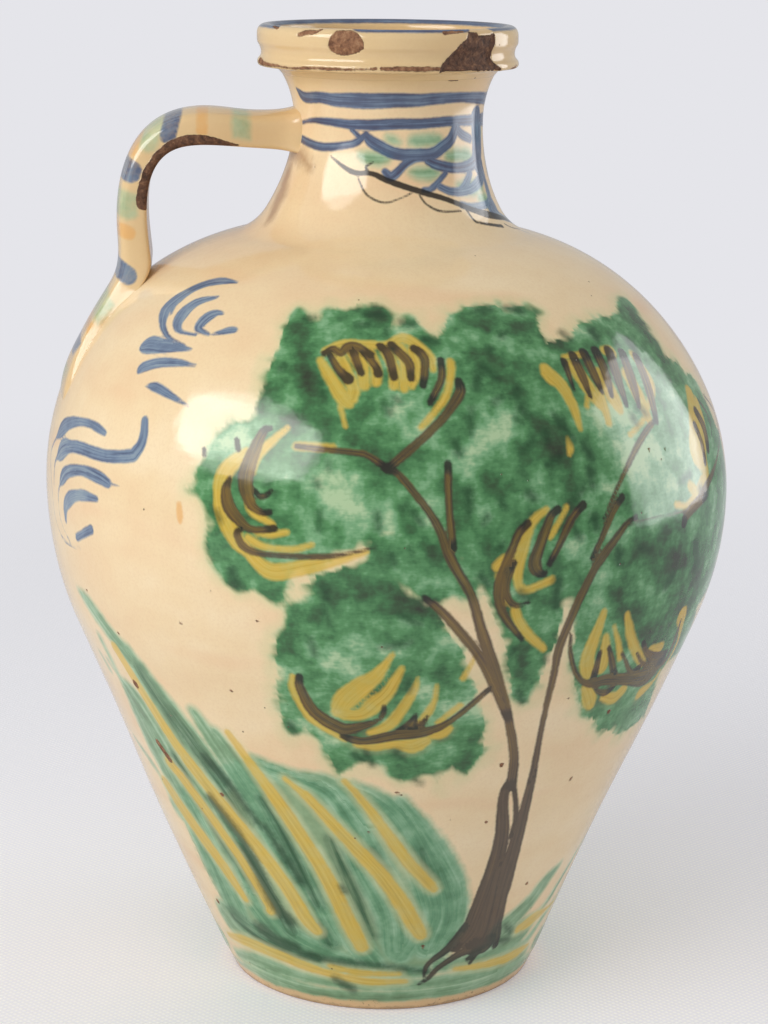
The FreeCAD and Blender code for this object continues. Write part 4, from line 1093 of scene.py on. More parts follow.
# %% The blue work
NECK_BLUE = [
    [(-63.8, 434.5, 1.6), (-60.5, 432.5, 4.3), (-55.5, 431.5, 4.8), (-42.7, 432, 4.9),
     (-32.6, 431.5, 5.6), (-21.1, 431.5, 6.4), (-9.3, 431.5, 6.6), (3.7, 432, 6.2),
     (16.8, 432, 5.6), (30.4, 432.5, 4.9), (48.4, 432.5, 4.5), (67, 431.5, 5.2), (82, 430.5, 4.8)],
    [(-73, 419.5, 1.9), (-60.1, 421.5, 1.7), (-50.3, 422.5, 2.2), (-36.9, 422.5, 3.2),
     (-25.1, 422, 3.9), (-9.6, 422, 4.5), (3.9, 422.5, 4.5), (17.6, 422.5, 4.3), (31.9, 423, 4.2),
     (51.3, 423, 4.5), (86.1, 422, 5.7)],
    [(-75, 415.5, 3.3), (-62.6, 414.5, 3.3), (-41.9, 412.5, 3.5), (-23.8, 414, 3.2),
     (-17.7, 415.5, 3.2), (-13.1, 418.5, 2.4)],
    [(-21.8, 420, 2), (-16, 416.5, 2.4)],
    [(-13, 417.5, 3.3), (-8.1, 415, 4.8), (4.9, 411, 4.9), (20.3, 410.5, 5), (28, 411, 5.1),
     (34.9, 413.5, 4.9), (40.2, 416, 4.9), (44.2, 420.5, 4.7)],
    [(-0.8, 404, 2.7), (3.3, 402, 3.9), (10.9, 407, 3.4), (16.7, 409, 3.3), (23.4, 409, 2.7)],
    [(24, 408, 3.3), (29.1, 406.5, 4.5), (37.1, 405, 4.5), (46.3, 404.5, 4.5), (55.8, 405, 5.2),
     (65.1, 407, 6.6)],
    [(65.3, 424, 9.2), (67.7, 418, 10.4), (67.7, 412, 10.2), (65.1, 407, 8.7)],
    [(44.2, 420.5, 3.4), (49.6, 417.5, 4.1), (57.8, 415.5, 3.5)],
    [(66.9, 404.5, 9.3), (71.5, 399, 4.3), (71.9, 393, 4.9), (69.8, 386, 4.9), (70.7, 382.5, 3.7)],
    [(30.7, 397.5, 3), (36.8, 395.5, 3.6), (45.2, 395, 4), (55.1, 396, 4.4), (66.1, 399, 5.6)],
    [(42.9, 389.5, 3.2), (49.7, 388, 3.9), (59.4, 388, 3.5), (71.1, 389, 3.3)],
    [(35.4, 403, 2.5), (25.7, 397, 2.8), (21, 396.5, 2.3)],
    [(54.7, 402, 3.6), (49.6, 398, 3.8), (43.7, 395.5, 2.6)],
    [(69.8, 386, 10.3), (75.2, 382, 4.3), (90.6, 377.5, 3.7), (93.8, 375.5, 2.4)],
    [(84.4, 409, 2.4), (86.1, 405, 3), (83.6, 400, 2.4)],
]
BLUE_CREST = [
    [(-38.8, 336.5, 1.4), (-43.9, 336, 4.8), (-47.5, 333.5, 5.1), (-50.1, 329.5, 5.3),
     (-51.5, 325.5, 6.1), (-52.4, 321.5, 7.7), (-52.7, 316.5, 6.6), (-50.3, 310, 3.5),
     (-47.9, 306.5, 2.6), (-45.3, 304, 2.1), (-40.6, 302, 1.7)],
    [(-49.8, 314.5, 0.9), (-51.8, 320, 3.9)],
    [(-51.2, 298.5, 5.3), (-50.1, 299.5, 8.2), (-47.5, 300, 7.5), (-38.6, 301, 1.4)],
    [(-48.9, 288, 2.6), (-48.3, 290, 5), (-44.9, 293, 4.8), (-40.1, 294.5, 3.4),
     (-35.9, 294.5, 1.2)],
    [(-45.5, 283, 0.9), (-42.3, 283, 4.2), (-34.3, 278, 0.8)],
    [(-40.7, 327, 1.7), (-44.6, 323.5, 4.8), (-46.1, 320, 6), (-46.5, 315.5, 7.1),
     (-45.8, 311, 4.8), (-43.7, 308, 2.3), (-39.3, 307.5, 1.3)],
    [(-35.8, 319, 1.4), (-37.4, 319, 3.4), (-38.9, 317, 5.8), (-39.7, 313.5, 5.6),
     (-39.4, 310.5, 3.3), (-36.1, 308.5, 1.4)],
    [(-35.2, 309, 1.4), (-32.1, 311.5, 3.7), (-30.8, 312, 3.1)],
]
BLUE_SCROLL = [
    [(-74, 237, 0.5), (-75, 242.5, 0.9), (-74.2, 246, 1.5), (-72.1, 250.5, 2.2), (-69.7, 255, 7.8),
     (-66.1, 259, 5.7), (-61.9, 261.5, 3.8), (-58, 262.5, 3.4), (-55, 262, 3.8), (-52.5, 261, 2.4)],
    [(-70.6, 231.5, 0.5), (-70.7, 240, 1.7), (-69.5, 243.5, 2.8), (-67.4, 247.5, 9.1),
     (-63.8, 250.5, 5.5), (-59.6, 252, 5.3), (-51.2, 252.5, 5.2), (-44.8, 255, 5.5),
     (-43.6, 257, 5.7), (-42.7, 260.5, 5.2), (-42.6, 265, 4.4), (-43.1, 269.5, 3.9)],
    [(-67.6, 226, 0.9), (-67.5, 230, 1.3), (-66.7, 233.5, 1.7), (-65.3, 237.5, 6.6),
     (-62.7, 241, 5.6), (-58.4, 243.5, 4.5), (-54.9, 244, 5.1), (-51.8, 243.5, 5.3),
     (-49.4, 242.5, 4)],
    [(-49.4, 242.5, 1.3), (-46.5, 242.5, 0.5)],
    [(-63.9, 220, 2), (-63.8, 226, 4.8), (-62.1, 230, 6.5), (-59.2, 233, 4.8), (-56.3, 234.5, 4.7),
     (-52.3, 235, 2.5)],
    [(-59.4, 216, 3.5), (-54.1, 222, 4.1)],
    [(-73.9, 237.5, 0.5), (-72.3, 230, 0.5), (-70.9, 220, 0.5), (-68.6, 214, 0.5), (-65, 211, 1.3),
     (-58.4, 211.5, 0.6)],
    [(-67.6, 226, 0.5), (-67.1, 220.5, 0.5), (-65.4, 216, 0.5), (-62.8, 212.5, 1.2)],
]
NECK_GREEN = [
    [(14.1, 416, 3.9), (19, 416, 5.5), (25.3, 416, 5.5), (30.7, 416, 3.9)],
    [(-15.2, 410, 3.1), (-11, 409, 5.4), (-5.2, 409, 6.2), (-0.6, 409, 3.9)],
    [(14.4, 403.5, 3.2), (19.1, 403, 5.5), (25.7, 403, 5.6), (30.1, 403, 3.6)],
    [(38.4, 409.5, 4.7), (43.8, 409.5, 6.3), (51.7, 409, 6), (56.8, 408.5, 3.6)],
    [(44.4, 397.5, 3.5), (48.9, 396.5, 6.4), (57, 396, 7), (63.6, 395.5, 4.2)],
    [(69.4, 417.5, 9.4), (70.9, 414, 3)],
    [(86.1, 405, 3.5), (87.8, 400.5, 3.5)],
    [(0.6, 416.5, 3.1), (3.5, 416, 3.9), (6.4, 415.5, 2.7)],
    [(59.4, 391.5, 4.6), (64.8, 390, 7.1)],
]
NECK_DARK_LINE = [
    [(-34.2, 409, 0.8), (-19.3, 403.5, 2.1), (-7.9, 403, 2), (2.3, 400, 2.5), (22.6, 395, 2.5),
     (34.5, 392, 2.2), (51.1, 386.5, 2.7), (62.9, 383.5, 3.5), (80.2, 380, 2), (92.7, 375.5, 1.3)],
    [(-8.9, 403, 0.8), (-11.6, 405.5, 1.2), (-7.9, 407.5, 0.8)],
]
NECK_HAIRLINES = [
    [(-15.3, 401, 0.8), (-9.2, 394.5, 0.8), (-0.2, 391.5, 1), (7.4, 393, 0.8), (16, 396, 0.8)],
    [(18.6, 394, 0.8), (22, 390.5, 0.9), (29.1, 387.5, 1.1), (41.2, 387, 0.8)],
    [(45.2, 387, 1.2), (47.9, 382.5, 1.2), (51.3, 381, 1.3), (68, 377.5, 1.9)],
    [(72.9, 378, 0.9), (78.2, 375, 0.9), (86.8, 372, 0.9), (88.5, 367.5, 0.7)],
]
SPECKS = [
    [(-34.2, 193.5, 1.5), (-34.2, 193, 1.5)],
    [(-27.7, 209.5, 1.2)],
    [(-52.3, 156, 2.2), (-52, 154.5, 3.3)],
    [(-52.7, 125.5, 3.4), (-50.2, 118.5, 3)],
    [(-43.7, 145, 1.8)],
    [(-58.8, 194, 1.7)],
    [(15, 105, 1.6)],
    [(23.5, 101, 1.7)],
    [(43.2, 60, 2)],
    [(43.3, 115, 2)],
    [(2.7, 120, 1.5), (3.5, 119.5, 1.5)],
    [(-2.4, 99, 1.6)],
    [(-55.1, 42, 2.7)],
    [(33.8, 160, 1.7)],
    [(46.6, 147, 2.6)],
    [(23.2, 131, 2.2)],
    [(87.2, 289.5, 1.7)],
    [(13.2, 35, 2.3)],
    [(-51.1, 180, 1.8)],
    [(-48.1, 179, 1.1)],
    [(-26.9, 165.5, 1.6)],
    [(-20.1, 199, 1.3)],
    [(-36, 109, 2.3)],
    [(47.7, 258.5, 1.6)],
    [(51.9, 257, 1.6)],
]
brush("blue", NECK_BLUE + BLUE_CREST + BLUE_SCROLL)
brush("grass", NECK_GREEN)
brush("hairline", NECK_DARK_LINE + NECK_HAIRLINES)
brush("worn", SPECKS)

# %% [markdown]
# ## The mouth, worn and chipped
# A blue line runs round the lip, rubbed off in places. The band's lower edge has lost its glaze,
# and two chips show the clay: a small round one and a large one that runs down over the edge. Each
# chip is marked as a patch first, then pressed in, so that light catches its rim.

# %% Marks on the mouth band
RIM_LINES = [[(turn, 470.2, 6.2) for turn in range(start, end, 6)]
             for start, end in ((-12, 37), (54, 301))]
COLLAR_EDGE = [
    [(-78.7, 453, 2.9), (-66.7, 452, 1.9), (-56.8, 452, 1.1), (-46.6, 451.5, 1), (-35, 452, 1.2),
     (-25.1, 452, 1.2), (-16.1, 452, 1.2), (-5, 452.5, 1)],
    [(-2.5, 452.5, 1.4), (5.1, 452.5, 1.7), (13.6, 452.5, 1.8), (22.4, 452.5, 1.5)],
    [(68.3, 450.5, 1.3), (76, 451.5, 1.7)],
]
EDGE_BEHIND = [[(turn, 452, 1.0 + 0.5 * (turn % 3)) for turn in range(start, start + 46, 9)]
               for start in (90, 150, 215)]
COLLAR_SPOTS = [
    [(-62.6, 468.5, 1.3), (-56.9, 467.5, 1.4)],
    [(-41, 465, 1.6), (-36.6, 466.5, 2.5), (-32.4, 466.5, 1.4), (-29.7, 468, 1)],
    [(25, 467, 1.7), (29.1, 467.5, 1.7), (34.2, 467.5, 1.4)],
]
SMALL_CHIP = [
    (-9.9, 462.5), (-10.2, 460.5), (-12.4, 459), (-15.7, 458), (-19, 457.5), (-22.2, 458),
    (-24.9, 459), (-26, 461.5), (-25.3, 463.5), (-24.1, 465.5), (-22.3, 467.5), (-19.2, 468),
    (-15.7, 468), (-12.9, 467), (-11, 465),
]
LARGE_CHIP = [
    (22.9, 453.5), (25.8, 456), (28.1, 458), (32.1, 462), (35.8, 464.5), (37.4, 467.5), (42, 467),
    (42.4, 465.5), (49.9, 465.5), (52.9, 466.5), (52.9, 463), (52.4, 460), (52, 456.5),
    (53.7, 453.5), (58.4, 451.5), (59.1, 449), (43.1, 450.5), (44.2, 443), (39.8, 440), (33.8, 440),
    (26.6, 443.5), (22.4, 451),
]
DAB = [
    [(-33.3, 240.5, 2.4), (-33.1, 236.5, 2.9), (-33, 234, 1.4)],
]
# Painted shade under the handle's root and down the neck beside it.
ROOT_SHADE_STROKES = [
    [(-74, 408, 4), (-60, 408, 6), (-48, 404, 3)],
    [(-72, 400, 7), (-69, 390, 9), (-66, 380, 5)],
]
brush("blue", RIM_LINES)
brush("worn", COLLAR_EDGE + EDGE_BEHIND + COLLAR_SPOTS)
fill("worn", SMALL_CHIP)
fill("chip", LARGE_CHIP)
brush("orange", DAB)
brush("root_shade", ROOT_SHADE_STROKES)

# %% [markdown]
# ## Round the back
# The photograph does not show the back. Jars of this sort are painted more plainly there, so we
# carry the grass and the foot's green round, let the neck's stripes close their rings, repeat the
# blue scrolls, and add two sprigs of leaf strokes. What repeats is one list, moved round the jar.

# %% The back's plain painting
def moved(strokes, turn, climb=0, grow=1):
    """The same strokes elsewhere on the jar, larger or smaller."""
    return [[(turn + t * grow, climb + c * grow, w * grow) for t, c, w in stroke]
            for stroke in strokes]


STRIPES_BEHIND = [[(turn, 431 + math.sin(turn / 13) / 2, 5.2) for turn in range(80, 265, 8)],
                  [(turn, 422.5 + math.sin(turn / 9) / 2, 4.4) for turn in range(84, 265, 8)]]
FOOT_BEHIND = [[(turn, 14 + 2 * math.sin(turn / 9), 13) for turn in range(70, 291, 10)],
               [(turn, 27 + 2 * math.sin(turn / 7), 9) for turn in range(76, 286, 10)]]
FOOT_YELLOW_BEHIND = [[(turn, 20.5 + math.sin(turn / 5), 4) for turn in range(84, 276, 8)]]
BLADES_BEHIND = [[(start, 30, 3), (start + 7, 62, 10), (start + 17, 100, 11), (start + 30, 136, 3)]
                 for start in range(96, 250, 14)]
THIN_BLADES_BEHIND = [[(start, 34, 3), (start + 8, 66, 5), (start + 19, 104, 3)]
                      for start in range(104, 250, 28)]
SPRIG = [
    [(0, -40, 2.5), (1, -20, 4), (0, 0, 3.5), (-2, 22, 2.5)],
    [(1, -14, 3), (7, -4, 9), (13, 8, 3)],
    [(0, -6, 3), (-7, 4, 9), (-13, 17, 3)],
    [(0, 8, 3), (6, 19, 8), (10, 30, 3)],
    [(-2, 18, 3), (-6, 29, 8), (-8, 40, 3)],
]
for turn, climb, grow in ((133, 255, 1.5), (210, 235, 1.7)):
    sprig = moved(SPRIG, turn, climb, grow)
    brush("grass", sprig[1:])
    brush("brown", sprig[:1])
brush("blue", STRIPES_BEHIND + moved(BLUE_CREST, 222) + moved(BLUE_SCROLL, 228))
brush("grass", FOOT_BEHIND + BLADES_BEHIND)
brush("yellow", FOOT_YELLOW_BEHIND + THIN_BLADES_BEHIND)

# %% [markdown]
# ## Bands on the handle
# Short bars of blue, green and orange cross the handle's back from the neck to the heel. On the
# strap a bar is easiest told by its two ends as seen from the side: how far out and how far up.
# The bars stop short of the strap's inner face. Along the near inner edge, in a band that widens
# along the bend, the glaze has flaked and the dark clay shows; the band is also painted shade of
# the strap's underside. All of the handle is a darker, yellower cream than the jar.

# %% Paint the handle
HANDLE_PIECES = [handle_root, handle_strap, handle_heel]
BARS = [
    ("grass", (60.2, 367), (60.1, 354), 6), ("orange", (75.7, 367.5), (75.7, 358.5), 4.5),
    ("blue", (86.6, 367), (89.2, 356.5), 6.5), ("grass", (94, 364), (97, 353.5), 6.5),
    ("orange", (101, 358.5), (104, 350), 4.5), ("blue", (109.5, 345), (103.5, 342), 9),
    ("grass", (110.5, 330.5), (103.5, 328.5), 9.5), ("orange", (110, 319.5), (103.5, 317.5), 5.5),
    ("blue", (110, 304.5), (104, 300.5), 7.5), ("grass", (116, 290), (110, 279.5), 9),
    ("orange", (121, 281), (118, 277), 4), ("blue", (127, 272), (122, 268), 8),
    ("grass", (134, 260), (130, 254), 8),
]
BAR_INSET = 4.2
BAR_DEPTH = -0.4
FAR_FROM_ENDS = 6
AGED_AND_SHADE_DEPTH = -6
FLAKED_AND_SHADED_AHEAD = 16.5
FLAKED_AND_SHADED_START, FLAKED_AND_SHADED_TAPER, FLAKED_AND_SHADED_THIN, FLAKED_AND_SHADED_WIDE = 58, 7, 0.3, 3.4
FLAKED_AND_SHADED = [
    (61, 352.4), (66, 353.3), (71, 354.0), (76, 354.3), (81, 353.6), (87, 351.4), (91.8, 347.2),
    (95.4, 341.2), (97.2, 334), (97.6, 330),
]


def side_view(piece):
    """Out, up and towards the front of every point, in millimetres, from the handle's own side."""
    places = np.empty(len(piece.data.vertices) * 3)
    piece.data.vertices.foreach_get("co", places)
    places = places.reshape(-1, 3) / MM
    turned = math.radians(180 + HANDLE_TURN)
    out = places[:, 0] * math.cos(turned) + places[:, 1] * math.sin(turned)
    ahead = places[:, 1] * math.cos(turned) - places[:, 0] * math.sin(turned)
    return np.stack([out, places[:, 2]], axis=1), ahead


def distance_to_run(points, run):
    """How far each point lies from a run of straight pieces."""
    nearest = np.full(len(points), 1e9)
    for a, b in zip(run, run[1:]):
        a, b = np.array(a, dtype=float), np.array(b, dtype=float)
        share = np.clip((points - a) @ (b - a) / ((b - a) @ (b - a)), 0, 1)
        nearest = np.minimum(nearest, np.linalg.norm(points - a - share[:, None] * (b - a), axis=1))
    return nearest


inner_line = np.array([(s[0], s[1]) for s in HANDLE_STATIONS])
for piece in HANDLE_PIECES:
    seen, ahead = side_view(piece)
    coats = {layer: np.tile([FAR, 0.0, 0.0], (len(seen), 1)) for layer in LAYERS}
    depth = distance_to_run(seen, inner_line)
    for number, (layer, start, end, width) in enumerate(BARS):
        edge = distance_to_run(seen, [start, end]) - width / 2
        edge = np.maximum(np.maximum(edge, BAR_INSET - depth), BAR_DEPTH)
        coat = coats[layer]
        better = edge < coat[:, 0]
        from_ends = np.full(len(seen), FAR_FROM_ENDS)
        coat[better] = np.stack([edge, from_ends, ahead + NUMBER_STEP * number], axis=1)[better]
    # The flaked band on the strap's near inner edge shows worn clay and is also painted shade of
    # the underside.
    flaked_and_shaded_half = np.clip((seen[:, 0] - FLAKED_AND_SHADED_START) / FLAKED_AND_SHADED_TAPER, FLAKED_AND_SHADED_THIN, FLAKED_AND_SHADED_WIDE)
    edge = distance_to_run(seen, FLAKED_AND_SHADED) - flaked_and_shaded_half
    coats["aged_and_shade"][:, 0] = AGED_AND_SHADE_DEPTH
    coats["chip"][:, 0] = np.maximum(edge, FLAKED_AND_SHADED_AHEAD - ahead)
    canvas[piece] = (None, None, coats)
    print(piece.name, "painted, ahead from", round(ahead.min(), 1), "to", round(ahead.max(), 1))

# %% [markdown]
# ## Press the chips in
# In edit mode the points inside a chip are pulled below the glaze, and then again with a smaller
# patch each time, which leaves a sloping rim as broken clay has.

# %% Break the chips out
def press_in(piece, layer, inside, amount):
    """Sink the points that lie deeper than inside in a patch."""
    bpy.ops.object.select_all(action="DESELECT")
    bpy.context.view_layer.objects.active = piece
    piece.select_set(True)
    deep = canvas[piece][2][layer][:, 0] < -inside
    bpy.ops.object.mode_set(mode="EDIT")
    bpy.ops.mesh.select_mode(type="VERT")
    bpy.ops.mesh.select_all(action="DESELECT")
    mesh = bmesh.from_edit_mesh(piece.data)
    mesh.verts.ensure_lookup_table()
    for index in np.flatnonzero(deep):
        mesh.verts[index].select = True
    mesh.select_flush(True)
    bpy.ops.transform.shrink_fatten(value=-amount * MM)
    bpy.ops.object.mode_set(mode="OBJECT")
    print(piece.name, layer, "-", int(deep.sum()), "points sunk", amount, "mm")


# how far inside the patch's border, and how far it is sunk
SINKINGS = (("chip", 0.1, 0.35), ("chip", 0.7, 0.35), ("chip", 1.6, 0.3),
            ("worn", 0.1, 0.25), ("worn", 0.9, 0.25))
for layer, inside, amount in SINKINGS:
    press_in(mouth_band, layer, inside, amount)

# %% [markdown]
# ## Hand the paint to the mesh
# Each layer becomes an attribute, a named set of numbers kept with the points. The material reads
# it by that name.

# %% Store the layers
ALL_PIECES = TURNED + HANDLE_PIECES
for piece in ALL_PIECES:
    coats = canvas[piece][2]
    for layer, coat in coats.items():
        store = piece.data.attributes.new(layer, "FLOAT_VECTOR", "POINT")
        store.data.foreach_set("vector", coat.astype(np.float32).ravel())
print("layers on each piece:", len(LAYERS))

# %% [markdown]
# ## A jar that leans a little
# No hand-thrown jar stands quite true. This one wanders a millimetre or two from its axis on the
# way up. A Lattice bends every piece by the same amount at the same height, so nothing parts.

# %% Let it lean
CAGE_SIZE = 0.4
LEAN = [0, -1.0, -1.1, 0.2, 0.4, 0.6, -0.3, -2.0, -2.2, -0.4, -1.1]
bpy.ops.object.select_all(action="DESELECT")
bpy.ops.object.add(type="LATTICE", location=(0, 0, CAGE_SIZE / 2))
cage = bpy.context.object
cage.scale = (CAGE_SIZE, CAGE_SIZE, CAGE_SIZE)
cage.data.points_u = cage.data.points_v = 2
cage.data.points_w = len(LEAN)
cage.data.interpolation_type_u = cage.data.interpolation_type_v = "KEY_LINEAR"
cage.data.interpolation_type_w = "KEY_CATMULL_ROM"
for number, point in enumerate(cage.data.points):
    point.co_deform.x += LEAN[number // 4] * MM / cage.scale.x
bpy.context.view_layer.update()
for piece in ALL_PIECES:
    bend = piece.modifiers.new("lean", "LATTICE")
    bend.object = cage
    bpy.context.view_layer.objects.active = piece
    bpy.ops.object.modifier_apply(modifier=bend.name)
bpy.data.objects.remove(cage)
print("lip now reaches x from", round(min(v.co.x for v in mouth_band.data.vertices) / MM, 2), "to",
      round(max(v.co.x for v in mouth_band.data.vertices) / MM, 2))

# %% [markdown]
# ## Mixing on the glaze bench
# Cycles colours are linear, while a colour chart gives them as a screen shows them, so `chart`
# turns one into the other. The helpers after it add a node each, and most of them hand back what
# comes out of it, so that a recipe below reads from top to bottom.

# %% Helpers for a recipe
def chart(red, green, blue):
    """A colour from a 0 to 255 chart, as Cycles wants it."""
    linear = [((v / 255 + 0.055) / 1.055) ** 2.4 if v > 10 else v / 255 / 12.92
              for v in (red, green, blue)]
    return (*linear, 1)


def open_recipe(name):
    """A new material, with its shader."""
    material = bpy.data.materials.new(name)
    material.use_nodes = True
    return material, material.node_tree, material.node_tree.nodes["Principled BSDF"]


def add(tree, kind, *values, **settings):
    """Add a node, set its settings, and give or join its inputs in order; None skips one."""
    made = tree.nodes.new("ShaderNode" + kind)
    for key, value in settings.items():
        setattr(made, key, value)
    for socket, value in zip([s for s in made.inputs if s.enabled], values):
        if isinstance(value, bpy.types.NodeSocket):
            tree.links.new(value, socket)
        elif value is not None:
            socket.default_value = value
    return made


def first_out(made):
    """What comes out of a node first."""
    return next(s for s in made.outputs if s.enabled)


def maths(tree, what, *values):
    """One sum or other working of two or three values."""
    return first_out(add(tree, "Math", *values, operation=what))


def times(tree, one, other):
    """One value times another."""
    return maths(tree, "MULTIPLY", one, other)


def plus(tree, one, other):
    """One value and another together."""
    return maths(tree, "ADD", one, other)


def speckle(tree, place, size, detail=3.0, roughness=0.5):
    """Soft noise with spots of this size, in millimetres where the place is in millimetres."""
    return add(tree, "TexNoise", place, 1 / size, detail, roughness).outputs["Fac"]


def fade(tree, value, nothing, full):
    """0 where the value is at nothing, 1 where it is at full, smooth between."""
    return first_out(add(tree, "MapRange", value, nothing, full, 0.0, 1.0,
                         interpolation_type="SMOOTHSTEP"))


def over(tree, under, paint, share):
    """Lay a paint over what is there, by a share."""
    return first_out(add(tree, "Mix", share, under, paint, data_type="RGBA"))


def tones(tree, value, *stops):
    """A run of colours by a value: each stop is a place and a chart colour."""
    ramp = add(tree, "ValToRGB", value)
    marks = ramp.color_ramp.elements
    while len(marks) < len(stops):
        marks.new(0.5)
    for mark, (place, _) in zip(marks, stops):
        mark.position = place
    for mark, (_, colour) in zip(marks, stops):
        mark.color = chart(*colour)
    return ramp.outputs["Color"]


# %% [markdown]
# ## The cream glaze
# A tin glaze is milky white glass over warm clay. It is cream where it lies thick and warmer where
# it runs thin, it has faint rings left by the wheel, and it carries small pinholes and specks. We
# work in millimetres: Object coordinates times a thousand.

# %% The bare glaze
painted_glaze, glaze, finish = open_recipe("painted_glaze")
where = add(glaze, "TexCoord").outputs["Object"]
mm = first_out(add(glaze, "VectorMath", where, (1000, 1000, 1000), operation="MULTIPLY"))
_, _, height = add(glaze, "SeparateXYZ", mm).outputs
flat = first_out(add(glaze, "VectorMath", mm, (1, 1, 3.5), operation="MULTIPLY"))
rings = first_out(add(glaze, "VectorMath", mm, (0.02, 0.02, 1), operation="MULTIPLY"))

cloud = speckle(glaze, flat, 90, 2)
mottle = speckle(glaze, mm, 14, 4, 0.6)
thick = plus(glaze, times(glaze, cloud, 0.7), times(glaze, mottle, 0.3))
cream = tones(glaze, thick, (0.30, (236, 203, 160)), (0.5, (241, 215, 172)),
              (0.68, (245, 223, 184)))
blush = fade(glaze, speckle(glaze, flat, 55, 1), 0.60, 0.82)
cream = over(glaze, cream, chart(236, 196, 154), times(glaze, blush, 0.55))
# Over the mouth band and on the handle the cream is darker and yellower; on the band this is aged
# glaze. The fade down the top of the neck, just below the band, is painted shade under its
# overhang.
kept = add(glaze, "Attribute", attribute_name="aged_and_shade").outputs["Vector"]
aged_and_shade = fade(glaze, add(glaze, "SeparateXYZ", kept).outputs[0], 0.0, -3.0)
aged_and_shade = times(glaze, maths(glaze, "MAXIMUM", aged_and_shade, fade(glaze, height, 366.0, 384.0)), 0.6)
cream = over(glaze, cream, chart(218, 184, 128), aged_and_shade)
grain = fade(glaze, speckle(glaze, mm, 1.1, 2, 0.7), 0.40, 0.75)
cream = over(glaze, cream, chart(222, 186, 142), times(glaze, grain, 0.22))
pores = add(glaze, "TexVoronoi", mm, 1 / 9)
pin = fade(glaze, pores.outputs["Distance"], 0.060, 0.030)
rare = fade(glaze, add(glaze, "SeparateColor", pores.outputs["Color"]).outputs[0], 0.72, 0.75)
pin = times(glaze, pin, rare)

# %% [markdown]
# ## Soft edges and streaks
# Raw glaze drinks the paint, and in the fire the two melt together, so no stroke has a hard edge.
# We push each stroke's edge in and out with two sizes of noise and fade it, over less than a
# millimetre for a line and over several for a wash. Inside a stroke the noise is drawn out along
# it, which leaves the streaks of the bristles.

# %% How a stroke lies
ragged = maths(glaze, "SUBTRACT", speckle(glaze, mm, 6, 3), 0.5)
fuzzy = maths(glaze, "SUBTRACT", speckle(glaze, mm, 1.6, 2), 0.5)


def laid(layer, ragged_by, fuzzy_by, softness, bristle=0.9, length=26):
    """A layer's ragged edge, how much of it lies here, its streaks and how near its end is."""
    kept = add(glaze, "Attribute", attribute_name=layer).outputs["Vector"]
    edge, along, across = add(glaze, "SeparateXYZ", kept).outputs
    edge = plus(glaze, edge, times(glaze, ragged, ragged_by))
    edge = plus(glaze, edge, times(glaze, fuzzy, fuzzy_by))
    cover = fade(glaze, edge, softness, -softness)
    hair = add(glaze, "CombineXYZ", maths(glaze, "DIVIDE", across, bristle),
               maths(glaze, "DIVIDE", along, length), 0.0).outputs[0]
    streaks = add(glaze, "TexNoise", hair, 1.0, 3.0, 0.6).outputs["Fac"]
    return edge, cover, streaks, along


# %% [markdown]
# ## Copper green leaves
# The leaves are copper green, dabbed on wet. It pools into near black spots, runs thin to a milky
# sea green, its border is all small lobes, and a pale stain bleeds out of it into the glaze. Three
# sizes of noise give the depth of the colour. Grass has the same paint, thinner and in long
# strokes.

# %% The leaves' green
lobes = maths(glaze, "SUBTRACT", speckle(glaze, mm, 13, 0), 0.5)
scallops = maths(glaze, "SUBTRACT", speckle(glaze, mm, 6.5, 0), 0.5)
leaf_edge, _, _, _ = laid("leaves", 0.35, 0.3, 1.0)
leaf_edge = plus(glaze, leaf_edge, times(glaze, lobes, 10.0))
leaf_edge = plus(glaze, leaf_edge, times(glaze, scallops, 6.0))
leaf = fade(glaze, leaf_edge, 2.4, -2.4)
bleed = times(glaze, fade(glaze, leaf_edge, 8.0, 0.0), 0.30)
colour = over(glaze, cream, chart(188, 206, 150), bleed)
_, thin, _, _ = laid("thin", 6.0, 1.0, 5.5)
_, pooled, _, _ = laid("pooled", 8.0, 1.5, 5.0)
big = speckle(glaze, flat, 60, 2, 0.5)
dabs = speckle(glaze, mm, 10, 3, 0.6)
fine = speckle(glaze, flat, 4.5, 3, 0.6)
depth = maths(glaze, "MULTIPLY_ADD", dabs, 0.66, maths(glaze, "MULTIPLY_ADD", fine, 0.14, -0.07))
depth = plus(glaze, times(glaze, big, 0.28), depth)
depth = plus(glaze, depth, times(glaze, pooled, 0.14))
depth = maths(glaze, "SUBTRACT", depth, times(glaze, thin, 0.13))
rim = times(glaze, fade(glaze, leaf_edge, -2.0, 2.0), 0.10)
depth = maths(glaze, "SUBTRACT", depth, rim)
leaf_green = tones(glaze, depth, (0.26, (176, 204, 160)), (0.36, (120, 172, 126)),
                   (0.45, (78, 142, 88)), (0.54, (48, 112, 64)), (0.64, (30, 78, 44)),
                   (0.76, (16, 40, 24)))
colour = over(glaze, colour, leaf_green, times(glaze, leaf, 0.97))

